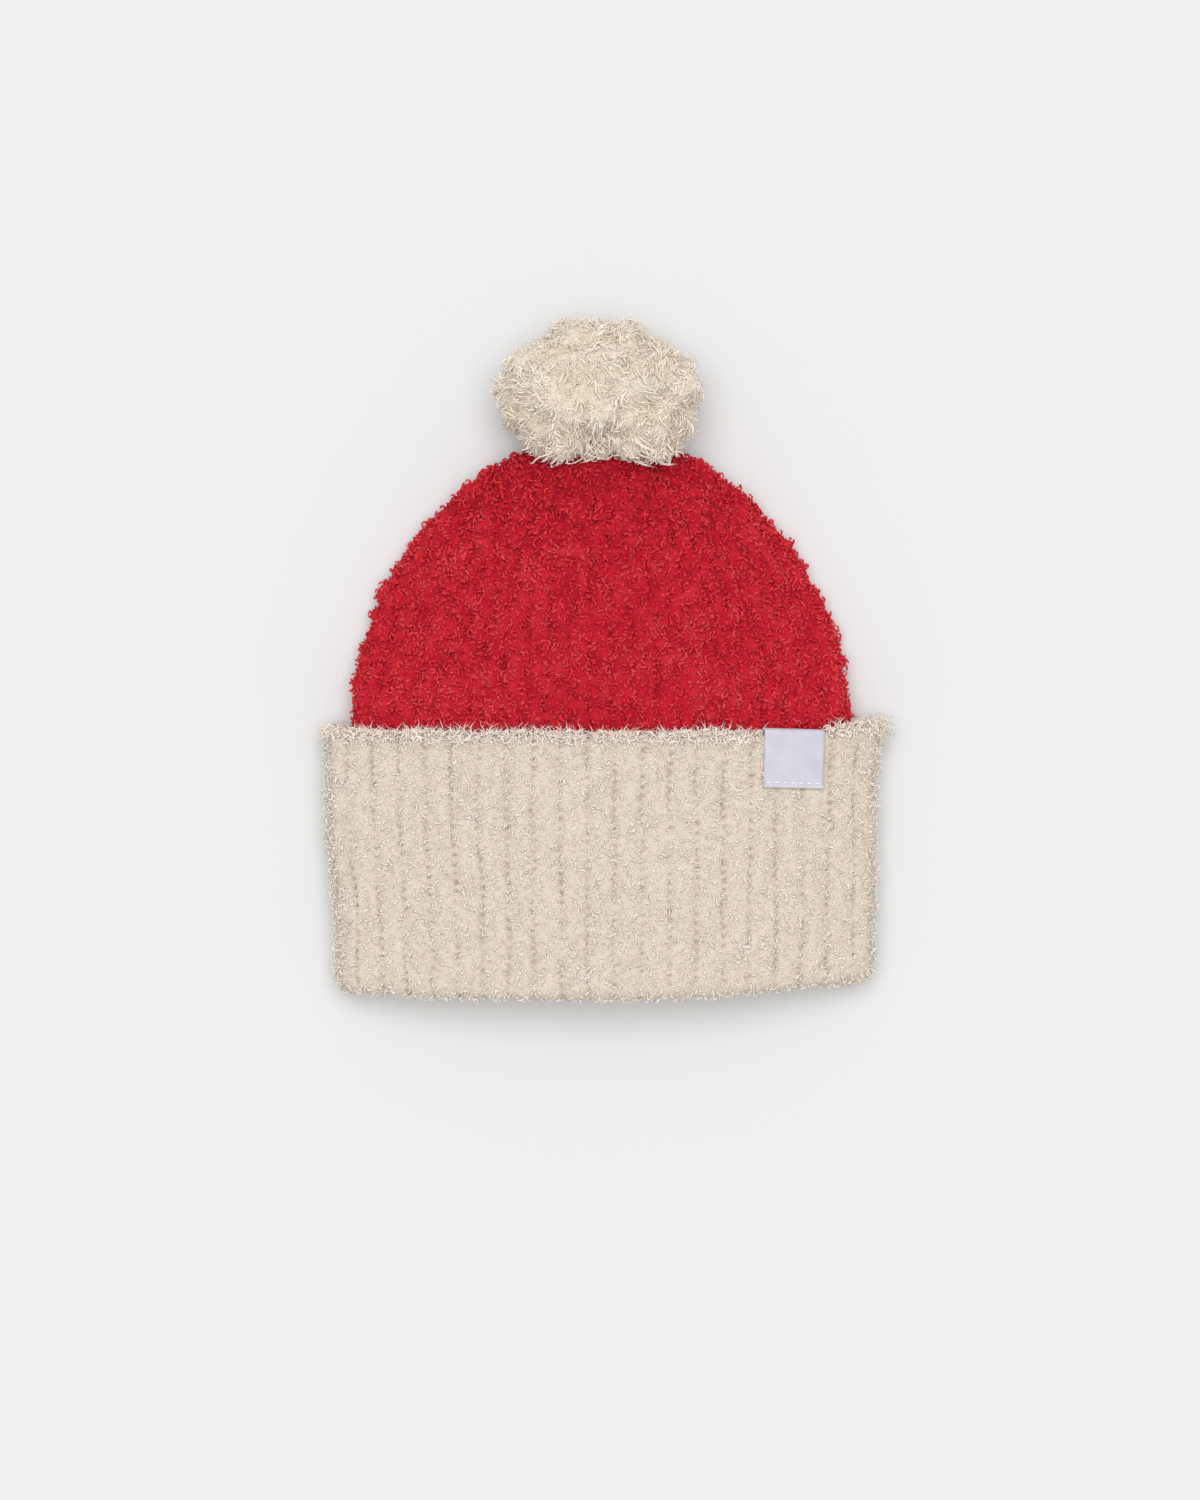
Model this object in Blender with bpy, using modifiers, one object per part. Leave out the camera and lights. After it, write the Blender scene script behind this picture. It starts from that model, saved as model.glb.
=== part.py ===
"""A knitted bobble hat lying flat on its back, as a scripted Blender model.

Metres, +Z up. The hat lies on the plane Z = 0 with its front facing up. Its opening faces -Y and
its pompom lies towards +Y. The origin is under the middle of the whole hat.

Pieces: a red crown, a cream cuff turned up over the crown's rim, a cream pompom, the yarn tie that
holds the pompom, and a bare woven label folded over the cuff's free edge.
"""

import math
import random

import bmesh
import bpy
import numpy as np
from mathutils import Vector

# The hat's main sizes
CUFF_WIDTH = 0.2
CUFF_DEPTH = 0.096
CROWN_WIDTH = 0.181
CROWN_HEIGHT = 0.104
KNIT_WALL = 0.0045
CUFF_WALL = 0.0045

# The hollow that the head goes into, and how the knit lies on the floor
FOLD_GAP = 0.004  # the hollow's height at the two side folds
HOLLOW_RISE = 0.013  # how much more the hollow opens in the middle
LAYER_GAP = 0.0016  # between the turned-up layer and what it covers
DRAPE_LENGTH = 0.034  # along which the crown's back sinks from the cuff to the floor
TIP_LIFT = 0.009  # how far the crown's gathered tip stands off the floor
TIP_LIFT_LENGTH = 0.04

# The seam between the crown and the cuff, hidden behind the turned-up layer
SEAM_COVER = 0.014
SEAM_GAP = 0.0003

# Ribs of the knit
CUFF_RIBS = 44
CROWN_RIBS = 48
RIB_DEPTH = 0.0012

# The gathered tip of the crown and the tie that goes through it
GATHER_HOLE = 0.0022
GATHER_DEPTH = 0.0017
TIE_RADIUS = 0.0012
TIE_KNOT_RADIUS = 0.0034
TIE_GAP = 0.0003

# Pompom
POMPOM_WIDTH = 0.076
POMPOM_LENGTH = 0.0545
POMPOM_HEIGHT = 0.055
POMPOM_OFFSET = -0.0012  # its middle, to the right of the crown's
POMPOM_SINK = 0.0085  # how far it reaches down over the crown's tip
POMPOM_PRESS = 0.0015  # how far its weight presses it onto the floor
LOCK_LENGTH = 0.005
LOCK_TAPER = 0.0012
LOCK_TILT = 0.0011
LOCK_SEED = 5
SEAT_GAP = 0.0005

# Woven label
LABEL_WIDTH = 0.0215
LABEL_LENGTH = 0.0205
LABEL_THICKNESS = 0.0006
LABEL_PLACE = 0.693  # its middle, to the right of the crown's, as a share of half the cuff's width
LABEL_GAP = 0.0003
LABEL_TURN = math.radians(1.5)

# Cuff outline. along: share of the cuff's depth from the fold to the free edge.
# left, right: the outline there, as shares of half the cuff's width.
CUFF_ROWS = (
    {"along": 0.0, "left": 0.957, "right": 0.988},
    {"along": 0.33, "left": 0.968, "right": 0.997},
    {"along": 0.6, "left": 0.992, "right": 1.0},
    {"along": 0.88, "left": 0.998, "right": 1.009},
    {"along": 1.0, "left": 0.998, "right": 1.034},
)

# Crown outline. along: share of the crown's height from the cuff's free edge to the tip.
# width: share of half the crown's width. rise: share of HOLLOW_RISE.
CROWN_ROWS = (
    {"along": 0.04, "width": 1.0, "rise": 1.0},
    {"along": 0.22, "width": 0.975, "rise": 1.24},
    {"along": 0.42, "width": 0.91, "rise": 1.42},
    {"along": 0.6, "width": 0.806, "rise": 1.38},
    {"along": 0.75, "width": 0.675, "rise": 1.2},
    {"along": 0.87, "width": 0.52, "rise": 0.96},
    {"along": 0.95, "width": 0.378, "rise": 0.73},
    {"along": 0.992, "width": 0.22, "rise": 0.52},
)

# How far the cuff's two edges bow towards the tip at the left and the right end.
# along: as for the cuff. left, right: shares of the cuff's depth. power: how late the bow starts.
EDGE_BOWS = (
    {"along": 0.0, "left": 0.03, "right": 0.086, "power": 2},
    {"along": 1.0, "left": 0.05, "right": 0.088, "power": 8},
)

# Gathers that run down from the tip. turn: share of a turn from the middle of the front,
# to the right. depth: share of GATHER_DEPTH. reach: share of the crown's height.
GATHERS = (
    {"turn": -0.13, "depth": 0.8, "reach": 0.4},
    {"turn": -0.055, "depth": 1.0, "reach": 0.35},
    {"turn": 0.01, "depth": 0.9, "reach": 0.3},
    {"turn": 0.06, "depth": 0.8, "reach": 0.35},
    {"turn": 0.125, "depth": 1.0, "reach": 0.5},
    {"turn": 0.36, "depth": 0.9, "reach": 0.4},
    {"turn": 0.5, "depth": 1.0, "reach": 0.35},
    {"turn": 0.62, "depth": 0.8, "reach": 0.45},
)
GATHER_BREADTH = 0.016  # of a turn

# Pompom outline seen from above, as shares of an ellipse of its width and length.
# angle: degrees from +X towards +Y on that ellipse.
POMPOM_OUTLINE = (
    {"angle": 0, "share": 1.0},
    {"angle": 25, "share": 1.0},
    {"angle": 38, "share": 0.93},
    {"angle": 50, "share": 0.88},
    {"angle": 62, "share": 0.95},
    {"angle": 85, "share": 0.99},
    {"angle": 115, "share": 0.94},
    {"angle": 145, "share": 0.95},
    {"angle": 180, "share": 0.98},
    {"angle": 220, "share": 1.01},
    {"angle": 240, "share": 1.1},
    {"angle": 262, "share": 0.92},
    {"angle": 279, "share": 0.86},
    {"angle": 300, "share": 1.14},
    {"angle": 315, "share": 1.17},
    {"angle": 335, "share": 1.06},
)
POMPOM_FULLNESS = 2.3  # 2 is an ellipsoid, more is squarer

# Places along Y that follow from the sizes
HAT_LENGTH = CUFF_DEPTH + CROWN_HEIGHT + POMPOM_LENGTH - POMPOM_SINK
FOLD_Y = -HAT_LENGTH / 2
EDGE_Y = FOLD_Y + CUFF_DEPTH
SEAM_Y = EDGE_Y - SEAM_COVER
TIP_Y = EDGE_Y + CROWN_HEIGHT
POMPOM_Y = TIP_Y - POMPOM_SINK + POMPOM_LENGTH / 2

# How far the middle of the cuff's widest row lies to the right of the crown's
CUFF_MIDDLE = (CUFF_ROWS[-1]["right"] - CUFF_ROWS[-1]["left"]) * CUFF_WIDTH / 4

# Every wall is a stack of layers round a thin flat lens in the middle of the hollow.
# These are the distances of the layers' faces from that lens.
LINING = FOLD_GAP / 2
BODY_FACE = LINING + KNIT_WALL
CUFF_BACK = BODY_FACE + LAYER_GAP
CUFF_FACE = CUFF_BACK + CUFF_WALL

# Fineness of the meshes
DOME_POWER = 2.3  # shape of the hollow's arched top: 2 is a parabola
DENSE_STEPS = 160
FOLD_STEPS = 3
RIB_SHOULDER = 0.27  # share of a rib from its middle to its shoulder
LABEL_COLUMNS = 4
LABEL_ROWS = 3
LOCK_DIVISIONS = 3
KNOT_STEPS = 5
KNOT_SIDES = 12
FLOOR_CUTTER = 0.2


def column(rows, name):
    return [row[name] for row in rows]


def smooth(share):
    share = np.clip(share, 0.0, 1.0)
    return share * share * (3 - 2 * share)


def material(name, colour, roughness, sheen):
    made = bpy.data.materials.new(name)
    made.use_nodes = True
    shader = made.node_tree.nodes["Principled BSDF"]
    shader.inputs["Base Color"].default_value = (*colour, 1.0)
    shader.inputs["Roughness"].default_value = roughness
    shader.inputs["Metallic"].default_value = 0.0
    shader.inputs["Sheen Weight"].default_value = sheen
    made.diffuse_color = (*colour, 1.0)
    return made


def link(name, mesh, finish):
    made = bpy.data.objects.new(name, mesh)
    bpy.data.collections["bobble_hat"].objects.link(made)
    mesh.materials.append(finish)
    return made


def loft(name, rings, finish, capped=False):
    """Skins rings of equally many points. Without caps, the last ring joins the first."""
    mesh = bpy.data.meshes.new(name)
    bm = bmesh.new()
    rows = [[bm.verts.new(point) for point in ring] for ring in rings]
    count = len(rows[0])
    pairs = list(zip(rows, rows[1:]))
    if capped:
        bm.faces.new(rows[0])
        bm.faces.new(list(reversed(rows[-1])))
    else:
        pairs.append((rows[-1], rows[0]))
    for low, high in pairs:
        for i in range(count):
            j = (i + 1) % count
            bm.faces.new((low[i], low[j], high[j], high[i]))
    bmesh.ops.recalc_face_normals(bm, faces=bm.faces)
    bm.to_mesh(mesh)
    bm.free()
    mesh.shade_smooth()
    mesh.set_sharp_from_angle(angle=math.radians(50))
    return link(name, mesh, finish)


def cutter(made):
    """Turns an object into a helper that only cuts others."""
    made.hide_render = True
    made.display_type = "WIRE"
    bpy.data.collections["bobble_hat"].objects.unlink(made)
    bpy.data.collections["cutters"].objects.link(made)
    return made


def cut(body, tool):
    modifier = body.modifiers.new(tool.name, "BOOLEAN")
    modifier.operation = "DIFFERENCE"
    modifier.solver = "EXACT"
    modifier.object = tool


def rib_turns(count):
    """Shares of a turn at which each rib has its two shoulders and its groove."""
    offsets = (-RIB_SHOULDER, RIB_SHOULDER, 0.5)
    return np.array([(rib + offset) / count for rib in range(count) for offset in offsets])


def rib_dips(count, pitch):
    """How far each of those points lies below the ribs' crests, less where the ribs crowd."""
    return np.tile([0.0, 0.0, min(RIB_DEPTH, 0.3 * pitch)], count)


def lens(half, rise, reach, turns):
    """Points (x, z) and outward angles round a lens that is flat below and arched above.

    They lie evenly, by the shares of a turn given, on the loop that is reach outside the lens.
    """
    steps = np.linspace(0.0, 1.0, DENSE_STEPS)
    slope = -rise * DOME_POWER * steps ** (DOME_POWER - 1) / half
    arch_angle = math.pi / 2 + np.arctan(slope)
    turn_angle = np.linspace(arch_angle[-1], -math.pi / 2, DENSE_STEPS)
    x = np.concatenate([half * steps, np.full(DENSE_STEPS, half), half * (1 - steps)])
    z = np.concatenate([rise * (1 - steps**DOME_POWER), np.zeros(2 * DENSE_STEPS)])
    angle = np.concatenate([arch_angle, turn_angle, np.full(DENSE_STEPS, -math.pi / 2)])
    x = np.concatenate([x, -x[::-1]])
    z = np.concatenate([z, z[::-1]])
    angle = np.concatenate([angle, -math.pi - angle[::-1]])
    outer_x = x + reach * np.cos(angle)
    outer_z = z + reach * np.sin(angle)
    lengths = np.hypot(np.diff(outer_x), np.diff(outer_z))
    travelled = np.concatenate([[0.0], np.cumsum(lengths)])
    wanted = np.mod(turns, 1.0) * travelled[-1]
    values = [np.interp(wanted, travelled, line) for line in (x, z, angle)]
    return np.stack(values[:2], axis=1), values[2], travelled[-1]


def floor_height(y):
    """Height of the lens above the floor: on the cuff's back, then draped, then lifted to the tip."""
    draped = smooth((y - EDGE_Y) / DRAPE_LENGTH - 0.1)
    lifted = smooth((y - TIP_Y + TIP_LIFT_LENGTH) / TIP_LIFT_LENGTH)
    return CUFF_FACE + (BODY_FACE - CUFF_FACE) * draped + TIP_LIFT * lifted


def bow(x, y):
    """How far the knit is drawn towards the tip at x, fading from the cuff's edges to the tip."""
    share = np.clip(x / (CUFF_WIDTH / 2), -1.1, 1.1)
    fold, edge = (
        CUFF_DEPTH * np.where(share < 0, row["left"], row["right"]) * np.abs(share) ** row["power"]
        for row in EDGE_BOWS
    )
    along = np.clip((y - FOLD_Y) / CUFF_DEPTH, 0.0, 1.0)
    fade = (1 - np.clip((y - EDGE_Y) / CROWN_HEIGHT, 0.0, 1.0)) ** 2
    return (fold + (edge - fold) * along) * fade


def cuff_halves(y):
    """Half widths of the cuff's outline at y, on the left and on the right."""
    along = (y - FOLD_Y) / CUFF_DEPTH
    places = column(CUFF_ROWS, "along")
    left, right = (np.interp(along, places, column(CUFF_ROWS, side)) for side in ("left", "right"))
    return left * CUFF_WIDTH / 2, right * CUFF_WIDTH / 2


def band_half(y):
    """Half width of the cuff's inner layer's outline, which narrows to the crown's at the seam."""
    fold_half = CROWN_WIDTH / 2 * CUFF_ROWS[0]["left"]
    share = smooth((y - FOLD_Y) / (SEAM_Y - FOLD_Y))
    return fold_half + (CROWN_WIDTH / 2 - fold_half) * share


def cuff_ring(y, distance, turned_up, turns, forward=0.0):
    """One ring of the cuff. turned_up is 0 on the inner layer and 1 on the outer one.

    distance and forward, the distances from the lens and towards the opening, may vary by point.
    """
    inner = band_half(y) - BODY_FACE
    left, right = (inner + (side - CUFF_FACE - inner) * turned_up for side in cuff_halves(y))
    mean = (left + right) / 2
    points, angle, _ = lens(mean, HOLLOW_RISE, CUFF_FACE, turns)
    across = points[:, 0] * np.where(points[:, 0] < 0, left, right) / mean
    x = across + distance * np.cos(angle)
    z = points[:, 1] + distance * np.sin(angle) + CUFF_FACE
    return np.stack([x, y + bow(across, y) - forward, z], axis=1)


def build_cuff(finish):
    """The cuff is one knitted band: an inner layer, a fold at the opening and a turned-up layer."""
    turns = rib_turns(CUFF_RIBS)
    ribs = rib_dips(CUFF_RIBS, CUFF_WIDTH)
    fold_radius = (CUFF_FACE - LINING) / 2
    fold_middle = (CUFF_FACE + LINING) / 2
    channel_y = FOLD_Y + fold_radius
    edge_round = 0.3 * CUFF_WALL
    rings = []
    for row in reversed(CUFF_ROWS[1:-1]):
        rings.append(cuff_ring(FOLD_Y + row["along"] * CUFF_DEPTH, CUFF_FACE - ribs, 1.0, turns))
    for step in range(FOLD_STEPS + 1):
        angle = math.pi * step / FOLD_STEPS
        turned_up = (1 + math.cos(angle)) / 2
        radius = fold_radius - ribs * turned_up
        distance = fold_middle + radius * math.cos(angle)
        rings.append(cuff_ring(channel_y, distance, turned_up, turns, radius * math.sin(angle)))
    rings.append(cuff_ring(SEAM_Y, LINING, 0.0, turns))
    rings.append(cuff_ring(SEAM_Y, BODY_FACE, 0.0, turns))
    rings.append(cuff_ring(channel_y, BODY_FACE, 0.0, turns))
    rings.append(cuff_ring(channel_y, CUFF_BACK, 1.0, turns))
    rings.append(cuff_ring(EDGE_Y - edge_round, CUFF_BACK, 1.0, turns))
    rings.append(cuff_ring(EDGE_Y, CUFF_BACK + edge_round, 1.0, turns))
    rings.append(cuff_ring(EDGE_Y, CUFF_FACE - edge_round - ribs / 2, 1.0, turns))
    rings.append(cuff_ring(EDGE_Y - edge_round, CUFF_FACE - ribs, 1.0, turns))
    return loft("cuff", rings, finish)


def crown_lines():
    """The crown's rows as (half width, y, rise) of the lens inside its outline."""
    rows = [(CROWN_WIDTH / 2, SEAM_Y + SEAM_GAP, HOLLOW_RISE)]
    for row in CROWN_ROWS:
        y = EDGE_Y + row["along"] * CROWN_HEIGHT
        rows.append((row["width"] * CROWN_WIDTH / 2, y, row["rise"] * HOLLOW_RISE))
    outline = np.array(rows)
    tangent = np.gradient(outline[:, :2], axis=0)
    tangent[0] = (0.0, 1.0)
    tangent /= np.linalg.norm(tangent, axis=1)[:, None]
    lines = outline.copy()
    lines[:, 0] -= BODY_FACE * tangent[:, 1]
    lines[:, 1] += BODY_FACE * tangent[:, 0]
    hole = (GATHER_HOLE, TIP_Y - BODY_FACE, 2 * GATHER_HOLE)
    return np.vstack([lines, hole])


def crown_frame(turns):
    """The crown's lens as rows of points, with the outward direction at each of them."""
    points, flat = [], []
    for half, y, rise in crown_lines():
        place, angle, _ = lens(half, rise, BODY_FACE, turns)
        x = place[:, 0]
        z = place[:, 1] + floor_height(y)
        points.append(np.stack([x, y + bow(x, y), z], axis=1))
        flat.append(np.stack([np.cos(angle), np.zeros(len(turns)), np.sin(angle)], axis=1))
    points, flat = np.array(points), np.array(flat)
    along = np.gradient(points, axis=0)
    lean = (flat * along).sum(axis=2, keepdims=True)
    outward = flat * along[:, :, 1:2]
    outward[:, :, 1:2] -= lean
    outward /= np.linalg.norm(outward, axis=2, keepdims=True)
    outward[0] = flat[0]
    outward[-1] = (0.0, 1.0, 0.0)
    return points, outward


def gather_dips(turns, along):
    """Depth of the gathers round one row of the crown."""
    dips = np.zeros(len(turns))
    for gather in GATHERS:
        apart = np.mod(turns - gather["turn"] + 0.5, 1.0) - 0.5
        fade = smooth((along - 1 + gather["reach"]) / gather["reach"])
        dips += gather["depth"] * GATHER_DEPTH * fade * np.exp(-((apart / GATHER_BREADTH) ** 2))
    return np.minimum(dips, 0.5 * KNIT_WALL)


def crown_dips(turns):
    """Depth of the ribs and gathers at each point of the crown's outer face, row by row."""
    rows = []
    for half, y, rise in crown_lines()[:-1]:
        _, _, loop = lens(half, rise, BODY_FACE, turns)
        along = (y - EDGE_Y) / CROWN_HEIGHT
        ribs = rib_dips(CROWN_RIBS, loop / CROWN_RIBS)
        rows.append(np.minimum(ribs + gather_dips(turns, along), 0.6 * KNIT_WALL))
    rows.append(np.zeros(len(turns)))
    return np.array(rows)[:, :, None]


def build_crown(finish):
    """The crown is a flattened dome of knit, open at the rim and drawn in round the tie."""
    turns = rib_turns(CROWN_RIBS)
    points, outward = crown_frame(turns)
    outer = points + outward * (BODY_FACE - crown_dips(turns))
    inner = points + outward * LINING
    rings = list(outer) + [inner[-1]] + list(inner[-2::-2])
    return loft("crown", rings, finish)


def build_seat_cutter(finish):
    """The smooth outer form of the crown's upper part, a little larger: it hollows the pompom."""
    turns = np.arange(CROWN_RIBS) / CROWN_RIBS
    points, outward = crown_frame(turns)
    rings = list((points + outward * (BODY_FACE + SEAT_GAP))[4:])
    return cutter(loft("crown_seat_cutter", rings, finish, capped=True))


def pompom_reach(way):
    """Distance from the pompom's middle to its outline, in one direction."""
    angles = column(POMPOM_OUTLINE, "angle") + [360]
    shares = column(POMPOM_OUTLINE, "share") + [POMPOM_OUTLINE[0]["share"]]
    across = 2 * way.x / POMPOM_WIDTH
    along = 2 * way.y / POMPOM_LENGTH
    tall = 2 * abs(way.z) / POMPOM_HEIGHT
    heading = math.degrees(math.atan2(along, across)) % 360
    level = math.hypot(across, along) / np.interp(heading, angles, shares)
    return (level**POMPOM_FULLNESS + tall**POMPOM_FULLNESS) ** (-1 / POMPOM_FULLNESS)


def pompom_cells():
    """The pompom's head as a closed mesh of six-sided cells, one for each lock."""
    base = bmesh.new()
    bmesh.ops.create_icosphere(base, subdivisions=LOCK_DIVISIONS, radius=1.0)
    head = bmesh.new()
    corners = {}
    for face in base.faces:
        way = face.calc_center_median().normalized()
        corners[face] = head.verts.new(way * (pompom_reach(way) - LOCK_LENGTH))
    for vertex in base.verts:
        side = vertex.normal.orthogonal()
        up = vertex.normal.cross(side)
        around = {}
        for face in vertex.link_faces:
            away = face.calc_center_median() - vertex.co
            around[face] = math.atan2(away.dot(up), away.dot(side))
        head.faces.new([corners[face] for face in sorted(around, key=around.get)])
    base.free()
    head.normal_update()
    return head


def build_pompom(finish, seat):
    """A head of yarn with a lock raised on every cell, pressed flat where it meets the floor."""
    draw = random.Random(LOCK_SEED)
    mesh = bpy.data.meshes.new("pompom")
    bm = pompom_cells()
    locks = list(bm.faces)
    bmesh.ops.inset_individual(bm, faces=locks, thickness=LOCK_TAPER, use_even_offset=True)
    for lock in locks:
        way = lock.calc_center_median().normalized()
        length = LOCK_LENGTH * draw.uniform(0.65, 1.0)
        lean = Vector([LOCK_TILT * draw.uniform(-1.0, 1.0) for _ in range(3)])
        for vertex in lock.verts:
            vertex.co += way * length + lean
    bmesh.ops.translate(bm, verts=bm.verts, vec=(0.0, 0.0, POMPOM_HEIGHT / 2 - POMPOM_PRESS))
    bm.to_mesh(mesh)
    bm.free()
    made = link("pompom", mesh, finish)
    made.location = (POMPOM_OFFSET, POMPOM_Y, 0.0)
    cut(made, seat)
    bpy.ops.mesh.primitive_cube_add(size=FLOOR_CUTTER, location=(0.0, POMPOM_Y, -FLOOR_CUTTER / 2))
    floor = bpy.context.active_object
    floor.name = "floor_cutter"
    for home in list(floor.users_collection):
        home.objects.unlink(floor)
    bpy.data.collections["bobble_hat"].objects.link(floor)
    cut(made, cutter(floor))
    return made


def build_tie(finish):
    """The yarn that holds the pompom: a shank through the crown's gathered tip, and a knot inside."""
    hole_height = floor_height(TIP_Y - BODY_FACE) + 0.85 * GATHER_HOLE
    knot_top = TIP_Y - KNIT_WALL - TIE_GAP
    shank_top = TIP_Y + SEAT_GAP - TIE_GAP
    start = math.asin(TIE_RADIUS / TIE_KNOT_RADIUS)
    middle = knot_top - TIE_KNOT_RADIUS
    profile = [(TIE_RADIUS, shank_top)]
    for step in range(KNOT_STEPS + 1):
        angle = start + (math.pi - start) * step / KNOT_STEPS
        radius = max(TIE_KNOT_RADIUS * math.sin(angle), 0.0)
        profile.append((radius, middle + TIE_KNOT_RADIUS * math.cos(angle)))
    mesh = bpy.data.meshes.new("pompom_tie")
    bm = bmesh.new()
    corners = [bm.verts.new((0.0, 0.0, shank_top))]
    corners += [bm.verts.new((radius, 0.0, height)) for radius, height in profile]
    for one, other in zip(corners, corners[1:]):
        bm.edges.new((one, other))
    bm.to_mesh(mesh)
    bm.free()
    made = link("pompom_tie", mesh, finish)
    made.location = (0.0, 0.0, hole_height)
    made.rotation_euler = (-math.pi / 2, 0.0, 0.0)
    turned = made.modifiers.new("turned", "SCREW")
    turned.steps = turned.render_steps = KNOT_SIDES
    turned.use_merge_vertices = True
    turned.merge_threshold = 0.00001
    turned.use_normal_calculate = True
    return made


def front_point(across, y, distance):
    """A point at a distance from the lens, straight over the place (across, y) on the cuff's face."""
    _, right = cuff_halves(y)
    half = right - CUFF_FACE
    share = np.linspace(0.0, 1.0, DENSE_STEPS)
    angle = math.pi / 2 - np.arctan(HOLLOW_RISE * DOME_POWER * share ** (DOME_POWER - 1) / half)
    share = np.interp(across, half * share + CUFF_FACE * np.cos(angle), share)
    angle = math.pi / 2 - math.atan(HOLLOW_RISE * DOME_POWER * share ** (DOME_POWER - 1) / half)
    x = half * share
    z = HOLLOW_RISE * (1 - share**DOME_POWER) + CUFF_FACE
    return x + distance * math.cos(angle), y + float(bow(x, y)), z + distance * math.sin(angle)


def build_label(finish):
    """A strip of woven tape folded over the cuff's free edge, with one leg outside and one behind."""
    outside = CUFF_FACE + LABEL_GAP
    inside = CUFF_BACK - LABEL_GAP
    over = EDGE_Y + LABEL_GAP
    near, far = [], []
    for row in range(LABEL_ROWS + 1):
        y = over - LABEL_LENGTH * (1 - row / LABEL_ROWS)
        near.append((y, outside))
        far.append((y + (LABEL_THICKNESS if row == LABEL_ROWS else 0.0), outside + LABEL_THICKNESS))
    for row in range(LABEL_ROWS + 1):
        y = over - LABEL_LENGTH * row / LABEL_ROWS
        near.append((y, inside))
        far.append((y + (LABEL_THICKNESS if row == 0 else 0.0), inside - LABEL_THICKNESS))
    section = near + far[::-1]
    middle = LABEL_PLACE * CUFF_WIDTH / 2
    rings = []
    for place in range(LABEL_COLUMNS + 1):
        across = middle + LABEL_WIDTH * (place / LABEL_COLUMNS - 0.5)
        ring = []
        for y, distance in section:
            leaned = across + (y - EDGE_Y) * math.tan(LABEL_TURN)
            ring.append(front_point(leaned, y, distance))
        rings.append(ring)
    return loft("label", rings, finish, capped=True)


def main():
    for old in list(bpy.data.objects):
        bpy.data.objects.remove(old)
    for name in ("bobble_hat", "cutters"):
        bpy.context.scene.collection.children.link(bpy.data.collections.new(name))
    red = material("red_knit", (0.49, 0.02, 0.032), 0.95, 0.4)
    cream_knit = material("cream_knit", (0.7, 0.62, 0.51), 0.95, 0.4)
    cream_yarn = material("cream_yarn", (0.72, 0.63, 0.51), 0.95, 0.4)
    tie_yarn = material("tie_yarn", (0.66, 0.58, 0.47), 0.9, 0.2)
    white_tape = material("white_tape", (0.75, 0.74, 0.79), 0.7, 0.1)
    build_crown(red)
    build_cuff(cream_knit)
    seat = build_seat_cutter(cream_yarn)
    build_pompom(cream_yarn, seat)
    build_tie(tie_yarn)
    build_label(white_tape)
    for made in bpy.data.objects:
        made.location.x -= CUFF_MIDDLE


main()
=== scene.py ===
import math

import bpy
import numpy as np
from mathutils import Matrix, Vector
from mathutils.bvhtree import BVHTree


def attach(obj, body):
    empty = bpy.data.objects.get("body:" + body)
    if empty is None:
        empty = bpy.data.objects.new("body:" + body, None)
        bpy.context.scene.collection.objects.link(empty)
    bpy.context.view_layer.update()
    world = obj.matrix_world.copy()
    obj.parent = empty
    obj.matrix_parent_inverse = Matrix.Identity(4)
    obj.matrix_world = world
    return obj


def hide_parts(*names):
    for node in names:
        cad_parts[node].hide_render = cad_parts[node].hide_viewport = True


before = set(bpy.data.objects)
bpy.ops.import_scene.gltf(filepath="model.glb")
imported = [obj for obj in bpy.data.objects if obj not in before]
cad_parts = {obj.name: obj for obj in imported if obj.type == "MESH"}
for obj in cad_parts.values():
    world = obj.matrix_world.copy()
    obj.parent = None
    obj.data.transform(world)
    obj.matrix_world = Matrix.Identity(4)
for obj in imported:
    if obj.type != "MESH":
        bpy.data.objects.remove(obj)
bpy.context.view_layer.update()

# The hat's sizes, in metres, as in the solids
CUFF_WIDTH = 0.2
CUFF_DEPTH = 0.096
CROWN_WIDTH = 0.181
CROWN_HEIGHT = 0.104
KNIT_WALL = 0.0045
CUFF_WALL = 0.0045
FOLD_GAP = 0.004  # the hollow's height at the two side folds
HOLLOW_RISE = 0.013  # how much more the hollow opens in the middle
LAYER_GAP = 0.0016  # between the turned-up layer and what it covers
DRAPE_LENGTH = 0.034  # along which the crown's back sinks from the cuff to the floor
TIP_LIFT = 0.009  # how far the crown's gathered tip stands off the floor
TIP_LIFT_LENGTH = 0.04
SEAM_COVER = 0.014  # how far the turned-up layer reaches past the seam
SEAM_GAP = 0.0003
CUFF_RIBS = 44
CROWN_RIBS = 48
GATHER_HOLE = 0.0022
GATHER_DEPTH = 0.0017
GATHER_BREADTH = 0.016  # of a turn
POMPOM_WIDTH = 0.076
POMPOM_LENGTH = 0.0545
POMPOM_HEIGHT = 0.055
POMPOM_OFFSET = -0.0012  # its middle, to the right of the crown's
POMPOM_SINK = 0.0085  # how far it reaches down over the crown's tip
POMPOM_PRESS = 0.0015  # how far its weight presses it onto the floor
POMPOM_FULLNESS = 2.3  # 2 is an ellipsoid, more is squarer
LABEL_WIDTH = 0.0215
LABEL_LENGTH = 0.0205
LABEL_THICKNESS = 0.0006
LABEL_PLACE = 0.693  # its middle, to the right, as a share of half the cuff's width
LABEL_GAP = 0.0003
LABEL_TURN = math.radians(1.5)
LABEL_MIDDLE = LABEL_PLACE * CUFF_WIDTH / 2
DOME_POWER = 2.3  # shape of the hollow's arched top: 2 is a parabola
DENSE_STEPS = 160

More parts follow.
